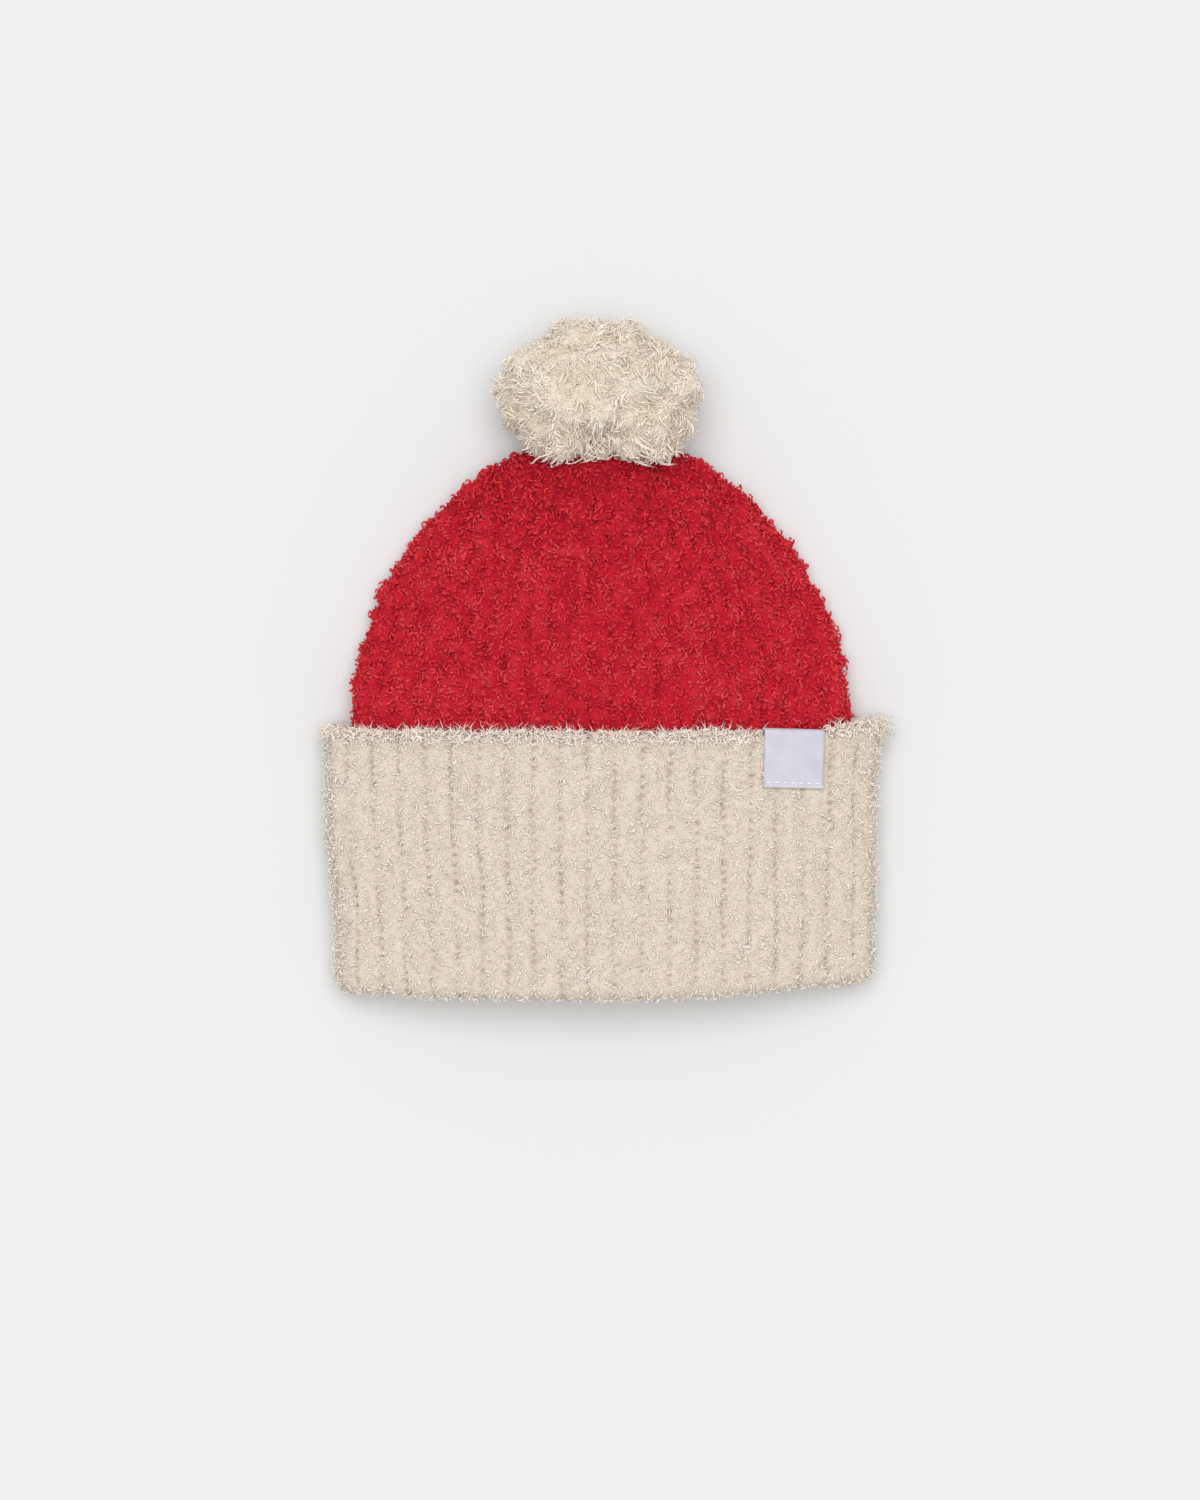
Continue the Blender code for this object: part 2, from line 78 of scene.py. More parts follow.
# Cuff outline. along: share of the cuff's depth from the fold to the free edge.
# left, right: the outline there, as shares of half the cuff's width.
CUFF_ROWS = (
    {"along": 0.0, "left": 0.957, "right": 0.988},
    {"along": 0.33, "left": 0.968, "right": 0.997},
    {"along": 0.6, "left": 0.992, "right": 1.0},
    {"along": 0.88, "left": 0.998, "right": 1.009},
    {"along": 1.0, "left": 0.998, "right": 1.034},
)

# Crown outline. along: share of the crown's height from the cuff's free edge to the tip.
# width: share of half the crown's width. rise: share of HOLLOW_RISE.
CROWN_ROWS = (
    {"along": 0.04, "width": 1.0, "rise": 1.0},
    {"along": 0.22, "width": 0.975, "rise": 1.24},
    {"along": 0.42, "width": 0.91, "rise": 1.42},
    {"along": 0.6, "width": 0.806, "rise": 1.38},
    {"along": 0.75, "width": 0.675, "rise": 1.2},
    {"along": 0.87, "width": 0.52, "rise": 0.96},
    {"along": 0.95, "width": 0.378, "rise": 0.73},
    {"along": 0.992, "width": 0.22, "rise": 0.52},
)

# How far the cuff's two edges bow towards the tip at the left and the right end.
# left, right: shares of the cuff's depth. power: how late the bow starts.
EDGE_BOWS = (
    {"along": 0.0, "left": 0.03, "right": 0.086, "power": 2},
    {"along": 1.0, "left": 0.05, "right": 0.088, "power": 8},
)

# Gathers that run down from the tip. turn: share of a turn from the middle of the front,
# to the right. depth: share of GATHER_DEPTH. reach: share of the crown's height.
GATHERS = (
    {"turn": -0.13, "depth": 0.8, "reach": 0.4},
    {"turn": -0.055, "depth": 1.0, "reach": 0.35},
    {"turn": 0.01, "depth": 0.9, "reach": 0.3},
    {"turn": 0.06, "depth": 0.8, "reach": 0.35},
    {"turn": 0.125, "depth": 1.0, "reach": 0.5},
    {"turn": 0.36, "depth": 0.9, "reach": 0.4},
    {"turn": 0.5, "depth": 1.0, "reach": 0.35},
    {"turn": 0.62, "depth": 0.8, "reach": 0.45},
)

# Pompom outline seen from above, as shares of an ellipse, by degrees from +X towards +Y
POMPOM_OUTLINE = (
    {"angle": 0, "share": 1.0},
    {"angle": 25, "share": 1.0},
    {"angle": 38, "share": 0.93},
    {"angle": 50, "share": 0.88},
    {"angle": 62, "share": 0.95},
    {"angle": 85, "share": 0.99},
    {"angle": 115, "share": 0.94},
    {"angle": 145, "share": 0.95},
    {"angle": 180, "share": 0.98},
    {"angle": 220, "share": 1.01},
    {"angle": 240, "share": 1.1},
    {"angle": 262, "share": 0.92},
    {"angle": 279, "share": 0.86},
    {"angle": 300, "share": 1.14},
    {"angle": 315, "share": 1.17},
    {"angle": 335, "share": 1.06},
)

# Places and distances that follow from the sizes
HAT_LENGTH = CUFF_DEPTH + CROWN_HEIGHT + POMPOM_LENGTH - POMPOM_SINK
FOLD_Y = -HAT_LENGTH / 2
EDGE_Y = FOLD_Y + CUFF_DEPTH
SEAM_Y = EDGE_Y - SEAM_COVER
TIP_Y = EDGE_Y + CROWN_HEIGHT
POMPOM_Y = TIP_Y - POMPOM_SINK + POMPOM_LENGTH / 2
CUFF_MIDDLE = (CUFF_ROWS[-1]["right"] - CUFF_ROWS[-1]["left"]) * CUFF_WIDTH / 4
POMPOM_MIDDLE = np.array([POMPOM_OFFSET - CUFF_MIDDLE, POMPOM_Y, POMPOM_HEIGHT / 2 - POMPOM_PRESS])

# Distances of the knit's faces from the thin flat lens in the middle of the hollow
LINING = FOLD_GAP / 2
BODY_FACE = LINING + KNIT_WALL
CUFF_BACK = BODY_FACE + LAYER_GAP
CUFF_FACE = CUFF_BACK + CUFF_WALL

# The knit's relief
FLOOR_GAP = 0.0006  # the pile's least height over the surface that the hat lies on
KNIT_FLOOR = 0.0001  # the knit's least height over it
PILE_GAP = 0.0006  # between the pompom's pile and the crown
KNIT_SINK = 0.0007  # how far the knit's mean face lies under the solids' face
CROWN_PIT = 0.0011  # depth of the pits between the ribs
CUFF_PIT = 0.0024
PIT_BREADTH = 0.075  # of a rib
PIT_SIZE = 0.005  # over which the pits come and go
PIT_SHARPNESS = 1.3
PIT_COVER = 0.3  # how much of the pits is closed
VALLEY_STRAY = 0.08  # of a rib, by which the valleys stray sideways
STRAY_SIZE = 0.009  # over which they do
DEEPEST = 0.0024  # the depth at which the knit's painted shade is darkest
CUFF_BARE = 0.0034  # the depth at which hardly any curl stands
CROWN_BARE = 0.0056
POMPOM_BARE = 0.009
TIP_SHADE = 0.9  # painted shade: how much darker the crown's knit and pile are near the tip, under the pompom
TIP_SHADE_REACH = 0.45  # of the crown's height
FULL_RIBS = 1.35  # times that a row of the crown may be shorter before its relief gets lower
EDGE_RELIEF = 0.8  # share of the relief on the cuff's free edge
EDGE_ROUND = 0.45  # how far that edge is rounded, as a share of the cuff's wall
RIB_ROUNDING = 0.0003
STITCH_PITCH = 0.0033
CROWN_SEED = 11
CUFF_SEED = 31

# Lumps of the yarn, from wide to fine: their size and height
CROWN_LUMPS = (
    {"size": 0.0075, "height": 0.0007},
    {"size": 0.0042, "height": 0.0013},
    {"size": 0.0024, "height": 0.0008},
)
CUFF_LUMPS = (
    {"size": 0.0075, "height": 0.0003},
    {"size": 0.0042, "height": 0.0004},
    {"size": 0.0024, "height": 0.0004},
)

# Fineness of the knit's mesh: where points stand across a rib, and distance between rows
RIB_POINTS = (-0.5, -0.43, -0.34, -0.23, -0.11, 0.0, 0.11, 0.23, 0.34, 0.43)
ROW_STEP = 0.0009
UNDER_STEP = 5  # underneath, only every so many of the points stand
LINING_ROWS = 8
FOLD_STEPS = 9

# Curls, bent fibres and short nap on each piece: how many, the curls' radius and thickness,
# and how long the fibres are, as a share of the lengths below
NAPS = {
    "crown": {"curls": 7400, "radius": 0.00092, "thick": 0.00043, "fibres": 2600, "nap": 11000, "long": 0.7},
    "cuff": {"curls": 5600, "radius": 0.0009, "thick": 0.00026, "fibres": 8500, "nap": 13000, "long": 1.0},
    "edge": {"curls": 1300, "radius": 0.0012, "thick": 0.00027, "fibres": 2500, "long": 1.8},
    "pompom": {"fibres": 5500, "nap": 5000, "long": 1.5},
}
CLUMP = 0.003  # size of the clumps in which neighbouring curls share a tone
CLUMP_TONE = 0.8
PATCH = 0.014  # size of the wide, faint patches of tone
PATCH_TONE = 0.35
OWN_TONE = 0.15  # by which a single fibre is lighter or darker
SKIN_TONE = 0.8  # share of the knit's tone, with its painted shade, that its pile takes
PILE_TONE = 0.2  # painted light: how much lighter the pile is than the knit under it
UNDERSIDE_SHARE = 0.09  # how dense the pile is underneath, as a share of that on top
PIT_SHARE = 0.04  # how dense it is in the deepest pits
HIDDEN_CROWN = 0.004  # how far under the cuff's free edge the crown has pile
TUFT = 0.0038  # size of the tufts in which curls and fibres are longer
TUFT_SHARE = 0.3  # by which share they are longer there
CURL_LEAN = math.radians(55)
CURL_START = math.radians(-40)
CURL_SWEEP = math.radians(200)
CURL_PROFILE = (0.7, 1.0, 1.1, 0.9, 0.0)  # shares of the thickness along a curl
FIBRE_ROOT = 0.0003  # how deep the fibres start in the knit
FIBRE_LENGTH = 0.0028
FIBRE_THICKNESS = 0.00016
NAP_LENGTH = 0.0016
NAP_THICKNESS = 0.00015
CURL_SEED = 100
FIBRE_SEED = 200
NAP_SEED = 300

# Pompom
POMPOM_TUFTS = (
    {"size": 0.011, "height": 0.0026},
    {"size": 0.0055, "height": 0.0015},
    {"size": 0.0028, "height": 0.0006},
)
POMPOM_RINGS = 72
POMPOM_COLUMNS = 120
POMPOM_POLE = 0.04  # angle that is left open round each of the mesh's two ends
POMPOM_SEED = 70
POMPOM_BODY = 0.9  # share of the outline that the mass of yarn fills
POMPOM_FLUFF = 1.05  # share of the outline that its fluff may reach to
NEAR_CROWN = 0.02  # how near the crown a point is kept clear of it
YARN_BUNDLES = 820
BUNDLE_STRANDS = 6
STRAND_LENGTH = 0.0064
STRAND_RADIUS = 0.00027
STRAND_PROFILE = (1, 1, 1, 1, 0.8, 0.0)  # shares of the radius along a strand
STRAND_WAVE = 0.001
FLOP_SIZE = 0.012  # over which the bundles flop the same way
STRAND_SEED = 71
FLOP_SEED = 80
LOOSE_ENDS = 34
ENDS_TURN = (222, 318)  # degrees round the pompom, as in its outline
ENDS_RISE = (38, 2)  # degrees over its middle, at their start and end
END_RADIUS = 0.0004
END_GAP = 0.0012  # between their middle line and the crown
ENDS_SEED = 91

# Woven label and its thread
LABEL_MARGIN = 0.0009  # round the label, where no curls stand
LABEL_COLUMNS = 26
LABEL_ROWS = 44
TAPE_THICKNESS = 0.7 * LABEL_THICKNESS
STITCHES = 7
STITCH_LINE = 0.0019  # above the label's lower end
THREAD_RADIUS = 0.00024
THREAD_PROFILE = (0.6, 1, 1, 1, 1, 0.9, 0.3)  # shares of the radius along a stitch

# The photo's view: width of what it shows at the height of the hat's edges, and its middle
FRAME_WIDTH = 0.432
FRAME_MIDDLE = (-0.002, -0.0331)
EDGE_HEIGHT = 0.018
CAMERA_HEIGHT = 1.9
SENSOR_WIDTH = 36.0

# Light and floor
LIGHT_TILT = math.radians(7)  # of the soft light, towards the pompom
LIGHT_BREADTH = math.radians(48)
LIGHT_STRENGTH = 2.36
SKY_STRENGTH = 0.5
FLOOR_SIZE = 30.0
FLOOR_COLOUR = (0.705, 0.705, 0.705, 1.0)

# Woolly materials: their colour deep in the pile (painted shade), in its middle and at its light tips
# (painted light), with partly random tone between. The knit and the pompom's yarn are painted-shade copies
# of the fibres.
WOOLS = {
    "red_knit": {"deep": (0.26, 0.004, 0.014), "middle": (0.5, 0.013, 0.028), "light": (0.56, 0.032, 0.045)},
    "red_fibre": {"deep": (0.52, 0.009, 0.024), "middle": (0.7, 0.029, 0.047), "light": (0.77, 0.07, 0.08)},
    "cream_knit": {"deep": (0.42, 0.35, 0.27), "middle": (0.66, 0.58, 0.48), "light": (0.68, 0.61, 0.51)},
    "cream_fibre": {"deep": (0.92, 0.86, 0.76), "middle": (0.92, 0.86, 0.77), "light": (0.92, 0.87, 0.79)},
    # painted reflection: the edge's fibres are pinker and lighter than the cuff's, for light bounced from
    # the red crown
    "edge_fibre_painted_bounce": {"deep": (0.95, 0.84, 0.74), "middle": (0.97, 0.88, 0.79), "light": (0.98, 0.9, 0.82)},
    "cream_yarn": {"deep": (0.79, 0.64, 0.45), "middle": (0.75, 0.67, 0.55), "light": (0.72, 0.67, 0.58)},
    "cream_fluff": {"deep": (0.99, 0.88, 0.7), "middle": (0.99, 0.91, 0.79), "light": (0.98, 0.91, 0.81)},
}
RED_SHEEN = (1.0, 0.45, 0.42)
CREAM_SHEEN = (1.0, 0.96, 0.9)


def column(rows, name):
    return [row[name] for row in rows]


def smooth(share):
    share = np.clip(share, 0.0, 1.0)
    return share * share * (3 - 2 * share)


def unit(vectors):
    return vectors / np.maximum(np.linalg.norm(vectors, axis=-1, keepdims=True), 1e-12)


def spline(wanted, places, values):
    """Smooth curve through the values at the places."""
    places = np.asarray(places, float)
    values = np.asarray(values, float)
    slopes = np.gradient(values, places, axis=0)
    i = np.clip(np.searchsorted(places, wanted, side="right") - 1, 0, len(places) - 2)
    step = places[i + 1] - places[i]
    t = (wanted - places[i]) / step
    if values.ndim > 1:
        step, t = step[:, None], t[:, None]
    start = values[i] * (2 * t**3 - 3 * t**2 + 1) + slopes[i] * step * (t**3 - 2 * t**2 + t)
    return start + values[i + 1] * (3 * t**2 - 2 * t**3) + slopes[i + 1] * step * (t**3 - t**2)


def hashed(lattice, seed):
    """A number from -1 to 1 for each whole-number lattice point."""
    x, y, z = (lattice[..., axis].astype(np.int64).astype(np.uint32) for axis in range(3))
    mixed = x * np.uint32(73856093) ^ y * np.uint32(19349663) ^ z * np.uint32(83492791)
    mixed ^= np.uint32(seed * 2654435761 % 2**32)
    mixed ^= mixed >> np.uint32(15)
    mixed *= np.uint32(2246822519)
    mixed ^= mixed >> np.uint32(13)
    mixed *= np.uint32(3266489917)
    mixed ^= mixed >> np.uint32(16)
    return mixed.astype(float) / 2**31 - 1


def rough(points, size, seed):
    """Smooth noise from -1 to 1 with features of about one size."""
    scaled = points / size
    base = np.floor(scaled)
    part = smooth(scaled - base)
    total = np.zeros(points.shape[:-1])
    for corner in np.ndindex(2, 2, 2):
        weight = np.prod(np.where(corner, part, 1 - part), axis=-1)
        total += weight * hashed(base + np.array(corner), seed)
    return total


def dome_angle(steps, half, rise):
    """Outward angle of the lens's arched top, at steps from its middle to its edge."""
    return math.pi / 2 - np.arctan(rise * DOME_POWER * steps ** (DOME_POWER - 1) / half)


def lens(half, rise, reach, turns):
    """Points (x, z) and outward angles round a lens that is flat below and arched above."""
    steps = np.linspace(0.0, 1.0, DENSE_STEPS)
    arch_angle = dome_angle(steps, half, rise)
    turn_angle = np.linspace(arch_angle[-1], -math.pi / 2, DENSE_STEPS)
    x = np.concatenate([half * steps, np.full(DENSE_STEPS, half), half * (1 - steps)])
    z = np.concatenate([rise * (1 - steps**DOME_POWER), np.zeros(2 * DENSE_STEPS)])
    angle = np.concatenate([arch_angle, turn_angle, np.full(DENSE_STEPS, -math.pi / 2)])
    x = np.concatenate([x, -x[::-1]])
    z = np.concatenate([z, z[::-1]])
    angle = np.concatenate([angle, -math.pi - angle[::-1]])
    outer_x = x + reach * np.cos(angle)
    outer_z = z + reach * np.sin(angle)
    travelled = np.concatenate([[0.0], np.cumsum(np.hypot(np.diff(outer_x), np.diff(outer_z)))])
    wanted = np.mod(turns, 1.0) * travelled[-1]
    values = [np.interp(wanted, travelled, line) for line in (x, z, angle)]
    return np.stack(values[:2], axis=1), values[2], travelled[-1]


def floor_height(y):
    """Height of the lens above the floor: on the cuff's back, then draped, then lifted to the tip."""
    draped = smooth((y - EDGE_Y) / DRAPE_LENGTH - 0.1)
    lifted = smooth((y - TIP_Y + TIP_LIFT_LENGTH) / TIP_LIFT_LENGTH)
    return CUFF_FACE + (BODY_FACE - CUFF_FACE) * draped + TIP_LIFT * lifted


def bow(x, y):
    """How far the knit is drawn towards the tip at x, fading from the cuff's edges to the tip."""
    share = np.clip(x / (CUFF_WIDTH / 2), -1.1, 1.1)
    fold, edge = (
        CUFF_DEPTH * np.where(share < 0, row["left"], row["right"]) * np.abs(share) ** row["power"]
        for row in EDGE_BOWS
    )
    along = np.clip((y - FOLD_Y) / CUFF_DEPTH, 0.0, 1.0)
    fade = (1 - np.clip((y - EDGE_Y) / CROWN_HEIGHT, 0.0, 1.0)) ** 2
    return (fold + (edge - fold) * along) * fade


def cuff_halves(y):
    """Half widths of the cuff's outline at y, on the left and on the right."""
    along = np.array([np.clip((y - FOLD_Y) / CUFF_DEPTH, 0.0, 1.0)])
    places = column(CUFF_ROWS, "along")
    left, right = (spline(along, places, column(CUFF_ROWS, side))[0] for side in ("left", "right"))
    return left * CUFF_WIDTH / 2, right * CUFF_WIDTH / 2


def band_half(y):
    """Half width of the cuff's inner layer's outline, which narrows to the crown's at the seam."""
    fold_half = CROWN_WIDTH / 2 * CUFF_ROWS[0]["left"]
    share = smooth((y - FOLD_Y) / (SEAM_Y - FOLD_Y))
    return fold_half + (CROWN_WIDTH / 2 - fold_half) * share


def cuff_ring(y, distance, turned_up, turns, forward=0.0):
    """One ring of the cuff. turned_up is 0 on the inner layer and 1 on the outer one."""
    inner = band_half(y) - BODY_FACE
    left, right = (inner + (side - CUFF_FACE - inner) * turned_up for side in cuff_halves(y))
    mean = (left + right) / 2
    points, angle, _ = lens(mean, HOLLOW_RISE, CUFF_FACE, turns)
    across = points[:, 0] * np.where(points[:, 0] < 0, left, right) / mean
    x = across + distance * np.cos(angle)
    z = points[:, 1] + distance * np.sin(angle) + CUFF_FACE
    return np.stack([x - CUFF_MIDDLE, y + bow(across, y) - forward, z], axis=1)


def rib_phase(turns, ribs):
    """Place across a rib, from -0.5 in one valley through 0 on the crest to 0.5 in the next."""
    return np.mod(turns * ribs + 0.5, 1.0) - 0.5


def knit_relief(points, phase, rib, along, share, lumps, pit_depth, seed):
    """Height of the knit over its mean face: rounded tufts, and pits between ribs at each stitch.

    share is 1 where the ribs have their full width and less where they crowd.
    """
    stray = VALLEY_STRAY * rough(points, STRAY_SIZE, seed + 1)
    valley = np.exp(-(((0.5 - np.abs(phase + stray)) / PIT_BREADTH) ** 2))
    stitch = np.cos(2 * math.pi * (along / STITCH_PITCH + 0.5 * np.mod(rib, 2)))
    pit = np.clip(PIT_SHARPNESS * stitch + rough(points, PIT_SIZE, seed + 2) - PIT_COVER, 0.0, 1.0)
    height = RIB_ROUNDING * (np.cos(2 * math.pi * phase) - 1) * 0.5
    for number, lump in enumerate(lumps):
        tuft = np.abs(rough(points, lump["size"], seed + 3 + number)) * 2 - 0.6
        height = height + lump["height"] * tuft
    return share * (height - pit_depth * valley * pit) - KNIT_SINK


def rib_turns(ribs):
    """Shares of a turn at which points stand: close on the ribs in sight, wider underneath."""
    turns = []
    for rib in range(ribs):
        under = abs(rib / ribs - 0.5) < 0.21
        turns += [(rib + place) / ribs for place in RIB_POINTS[:: UNDER_STEP if under else 1]]
    return np.mod(turns, 1.0)


def mesh_object(name, points, faces, finish, tone=None):
    """Makes an object from arrays of points and of faces that all have equally many corners."""
    points = np.ascontiguousarray(points, np.float32).reshape(-1, 3)
    faces = np.ascontiguousarray(faces, np.int32)
    mesh = bpy.data.meshes.new(name)
    mesh.vertices.add(len(points))
    mesh.vertices.foreach_set("co", points.ravel())
    mesh.loops.add(faces.size)
    mesh.loops.foreach_set("vertex_index", faces.ravel())
    mesh.polygons.add(len(faces))
    mesh.polygons.foreach_set("loop_start", np.arange(len(faces), dtype=np.int32) * faces.shape[1])
    mesh.update(calc_edges=True)
    if tone is not None:
        layer = mesh.attributes.new("tone", "FLOAT", "POINT")
        layer.data.foreach_set("value", np.ascontiguousarray(tone, np.float32).ravel())
    mesh.shade_smooth()
    mesh.materials.append(finish)
    made = bpy.data.objects.new(name, mesh)
    bpy.context.scene.collection.objects.link(made)
    return made


def ring_faces(rows, columns, closed):
    """Quads between rings of points, the last ring joined to the first where closed."""
    low = np.arange(rows if closed else rows - 1)
    high = (low + 1) % rows
    near = np.arange(columns)
    far = (near + 1) % columns
    quads = [low[:, None] * columns + near, low[:, None] * columns + far]
    quads += [high[:, None] * columns + far, high[:, None] * columns + near]
    return np.stack(quads, axis=-1).reshape(-1, 4)


def tubes(paths, radii, sides, sideways):
    """Closed tapering tubes along paths (tube, station, xyz), each ending in a point.

    sideways gives each tube a direction that its path doesn't run along.
    """
    count, stations = paths.shape[:2]
    tangent = unit(np.gradient(paths, axis=1))
    side = unit(np.cross(tangent, sideways[:, None, :]))
    up = np.cross(side, tangent)
    turn = 2 * math.pi * np.arange(sides) / sides
    rings = paths[:, :-1, None, :] + radii[:, :-1, None, None] * (
        side[:, :-1, None, :] * np.cos(turn)[:, None] + up[:, :-1, None, :] * np.sin(turn)[:, None]
    )
    points = np.concatenate([rings.reshape(count, -1, 3), paths[:, -1:, :]], axis=1)
    faces = []
    for ring in range(stations - 2):
        for i in range(sides):
            j = (i + 1) % sides
            low, high = ring * sides, (ring + 1) * sides
            faces += [(low + i, low + j, high + j), (low + i, high + j, high + i)]
    last = (stations - 2) * sides
    tip = (stations - 1) * sides
    faces += [(last + i, last + (i + 1) % sides, tip) for i in range(sides)]
    faces += [(0, i + 1, i) for i in range(1, sides - 1)]
    size = points.shape[1]
    faces = np.array(faces)[None] + (np.arange(count) * size)[:, None, None]
    along = np.append(np.repeat(np.arange(stations - 1), sides), stations - 1) / (stations - 1)
    return points.reshape(-1, 3), faces.reshape(-1, 3), np.tile(along, count)


class Skin:
    """A grid of points on the outside of a piece, on which curls and fibres stand.

    relief is the height of each point over the mean face, tone how light its yarn is painted, darker in
    hollows as painted shade, and bare_depth how far under the mean face hardly any curl stands.
    """

    def __init__(self, grid, relief, tone, bare_depth):
        around = np.roll(grid, -1, axis=1) - np.roll(grid, 1, axis=1)
        along = np.gradient(grid, axis=0)
        across = np.cross(around, along)
        self.grid = grid
        self.tone = tone
        self.normal = unit(across)
        self.around = around / 2
        self.along = along
        # more on top and at the sides than underneath, and fewer in the pits and next to them
        shown = UNDERSIDE_SHARE + (1 - UNDERSIDE_SHARE) * smooth((self.normal[:, :, 2] + 0.5) / 0.6)
        beside = [np.roll(relief, shift, axis) for shift in (-1, 1) for axis in (0, 1)]
        lowest = np.minimum.reduce([relief, *beside])
        open_face = PIT_SHARE + (1 - PIT_SHARE) * smooth(1.4 * (lowest / bare_depth + 1))
        self.weight = np.linalg.norm(across, axis=2) * shown * open_face

    def scatter(self, count, draw):
        """Even but irregular places on the skin, as (place, normal, along, around, tone)."""
        share = np.cumsum(self.weight.ravel())
        wanted = (np.arange(count) + draw.random(count)) / count * share[-1]
        chosen = np.minimum(np.searchsorted(share, wanted), share.size - 1)
        spot = np.unravel_index(chosen, self.weight.shape)
        place = self.grid[spot] + self.around[spot] * (draw.random((count, 1)) - 0.5)
        place = place + self.along[spot] * (draw.random((count, 1)) - 0.5)
        normal = self.normal[spot]
        along = unit(self.along[spot])
        patches = CLUMP_TONE * rough(place, CLUMP, 5) + PATCH_TONE * rough(place, PATCH, 4)
        own = draw.uniform(-OWN_TONE, OWN_TONE, count)
        # the pile's tone: the knit's painted shade, painted light on the pile, and random patches and tone
        tone = SKIN_TONE * self.tone[spot] + PILE_TONE + patches + own
        return place, normal, along, np.cross(along, normal), tone


def keep_above(points):
    """Lifts what would reach under the surface that the hat lies on."""
    points[..., 2] = np.maximum(points[..., 2], FLOOR_GAP)
    return points


def curls(name, skin, count, seed, finish, radius, thickness, fit):
    """Small loops of yarn that lean out of the knit, as one mesh."""
    draw = np.random.default_rng(seed)
    place, normal, along, around, tone = skin.scatter(count, draw)
    heading = draw.uniform(0, 2 * math.pi, (count, 1))
    run = along * np.cos(heading) + around * np.sin(heading)
    lean = draw.uniform(0.0, CURL_LEAN, (count, 1))
    rise = normal * np.cos(lean) + np.cross(normal, run) * np.sin(lean)
    size = radius * draw.uniform(0.75, 1.25, (count, 1)) * (1 + TUFT_SHARE * rough(place, TUFT, 6))[:, None]
    start = CURL_START + draw.uniform(-0.4, 0.4, (count, 1))
    sweep = CURL_SWEEP + draw.uniform(-0.9, 0.7, (count, 1))
    angle = start + sweep * np.linspace(0, 1, len(CURL_PROFILE))
    growth = size * (1 + 0.15 * np.linspace(-1, 1, len(CURL_PROFILE)))
    centre = place + normal * size * draw.uniform(0.0, 0.5, (count, 1))
    paths = centre[:, None] + growth[..., None] * (
        run[:, None] * np.cos(angle)[..., None] + rise[:, None] * np.sin(angle)[..., None]
    )
    thick = thickness * draw.uniform(0.75, 1.25, (count, 1)) * np.array(CURL_PROFILE)
    points, faces, along = tubes(fit(paths), thick, 3, np.cross(run, rise))
    # painted shade: each curl is darker at its two ends, near the knit, and painted lighter at its top
    shade = np.repeat(tone, len(points) // count) + 0.4 * np.sin(math.pi * along) - 0.2
    return mesh_object(name, points, faces, finish, shade)


def fibres(name, skin, count, seed, finish, scale, fit, bent=True):
    """Fibres that lean over the knit in all directions, as one mesh: long bent ones or a short nap."""
    draw = np.random.default_rng(seed)
    place, normal, along, around, tone = skin.scatter(count, draw)
    heading = draw.uniform(0, 2 * math.pi, (count, 1))
    run = along * np.cos(heading) + around * np.sin(heading)
    lean = draw.uniform(0.5, 1.35, (count, 1))
    first = normal * np.cos(lean) + run * np.sin(lean)
    length = scale * (FIBRE_LENGTH if bent else NAP_LENGTH) * draw.uniform(0.6, 1.4, (count, 1))
    length = length * (1 + TUFT_SHARE * rough(place, TUFT, 6))[:, None]
    thickness = (FIBRE_THICKNESS if bent else NAP_THICKNESS) * draw.uniform(0.7, 1.3, (count, 1))
    base = place - normal * FIBRE_ROOT
    if bent:
        swerve = np.cross(normal, run) * draw.uniform(-1.2, 1.2, (count, 1))
        second = unit(first + swerve - normal * 0.2)
        middle = base + first * length * 0.5
        paths = np.stack([base, middle, middle + second * length * 0.5], axis=1)
        thick = thickness * np.array([1.0, 0.85, 0.0])
    else:
        paths = np.stack([base, base + first * length], axis=1)
        thick = thickness * np.array([1.0, 0.0])
    sideways = np.cross(run, normal) + 0.01
    points, faces, along = tubes(fit(paths), thick, 3, sideways)
    # painted shade: each fibre is darker at its root and painted lighter towards its tip
    shade = np.repeat(tone, len(points) // count) + 0.4 * along - 0.2
    return mesh_object(name, points, faces, finish, shade)


def crown_lines():
    """The crown's rows as (half width, y, rise) of the lens inside its outline."""
    rows = [(CROWN_WIDTH / 2, SEAM_Y + SEAM_GAP, HOLLOW_RISE)]
    for row in CROWN_ROWS:
        y = EDGE_Y + row["along"] * CROWN_HEIGHT
        rows.append((row["width"] * CROWN_WIDTH / 2, y, row["rise"] * HOLLOW_RISE))
    outline = np.array(rows)
    tangent = np.gradient(outline[:, :2], axis=0)
    tangent[0] = (0.0, 1.0)
    tangent /= np.linalg.norm(tangent, axis=1)[:, None]
    lines = outline.copy()
    lines[:, 0] -= BODY_FACE * tangent[:, 1]
    lines[:, 1] += BODY_FACE * tangent[:, 0]
    hole = (GATHER_HOLE, TIP_Y - BODY_FACE, 2 * GATHER_HOLE)
    return np.vstack([lines, hole])


def crown_frame(lines, turns):
    """The crown's lens as rows of points, the outward directions, and each row's loop length."""
    points, flat, loops = [], [], []
    for half, y, rise in lines:
        place, angle, loop = lens(half, rise, BODY_FACE, turns)
        x = place[:, 0]
        z = place[:, 1] + floor_height(y)
        points.append(np.stack([x - CUFF_MIDDLE, y + bow(x, y), z], axis=1))
        flat.append(np.stack([np.cos(angle), np.zeros(len(turns)), np.sin(angle)], axis=1))
        loops.append(loop)
    points, flat = np.array(points), np.array(flat)
    along = np.gradient(points, axis=0)
    lean = (flat * along).sum(axis=2, keepdims=True)
    outward = flat * along[:, :, 1:2]
    outward[:, :, 1:2] -= lean
    outward = unit(outward)
    outward[0] = flat[0]
    outward[-1] = (0.0, 1.0, 0.0)
    return points, outward, np.array(loops)


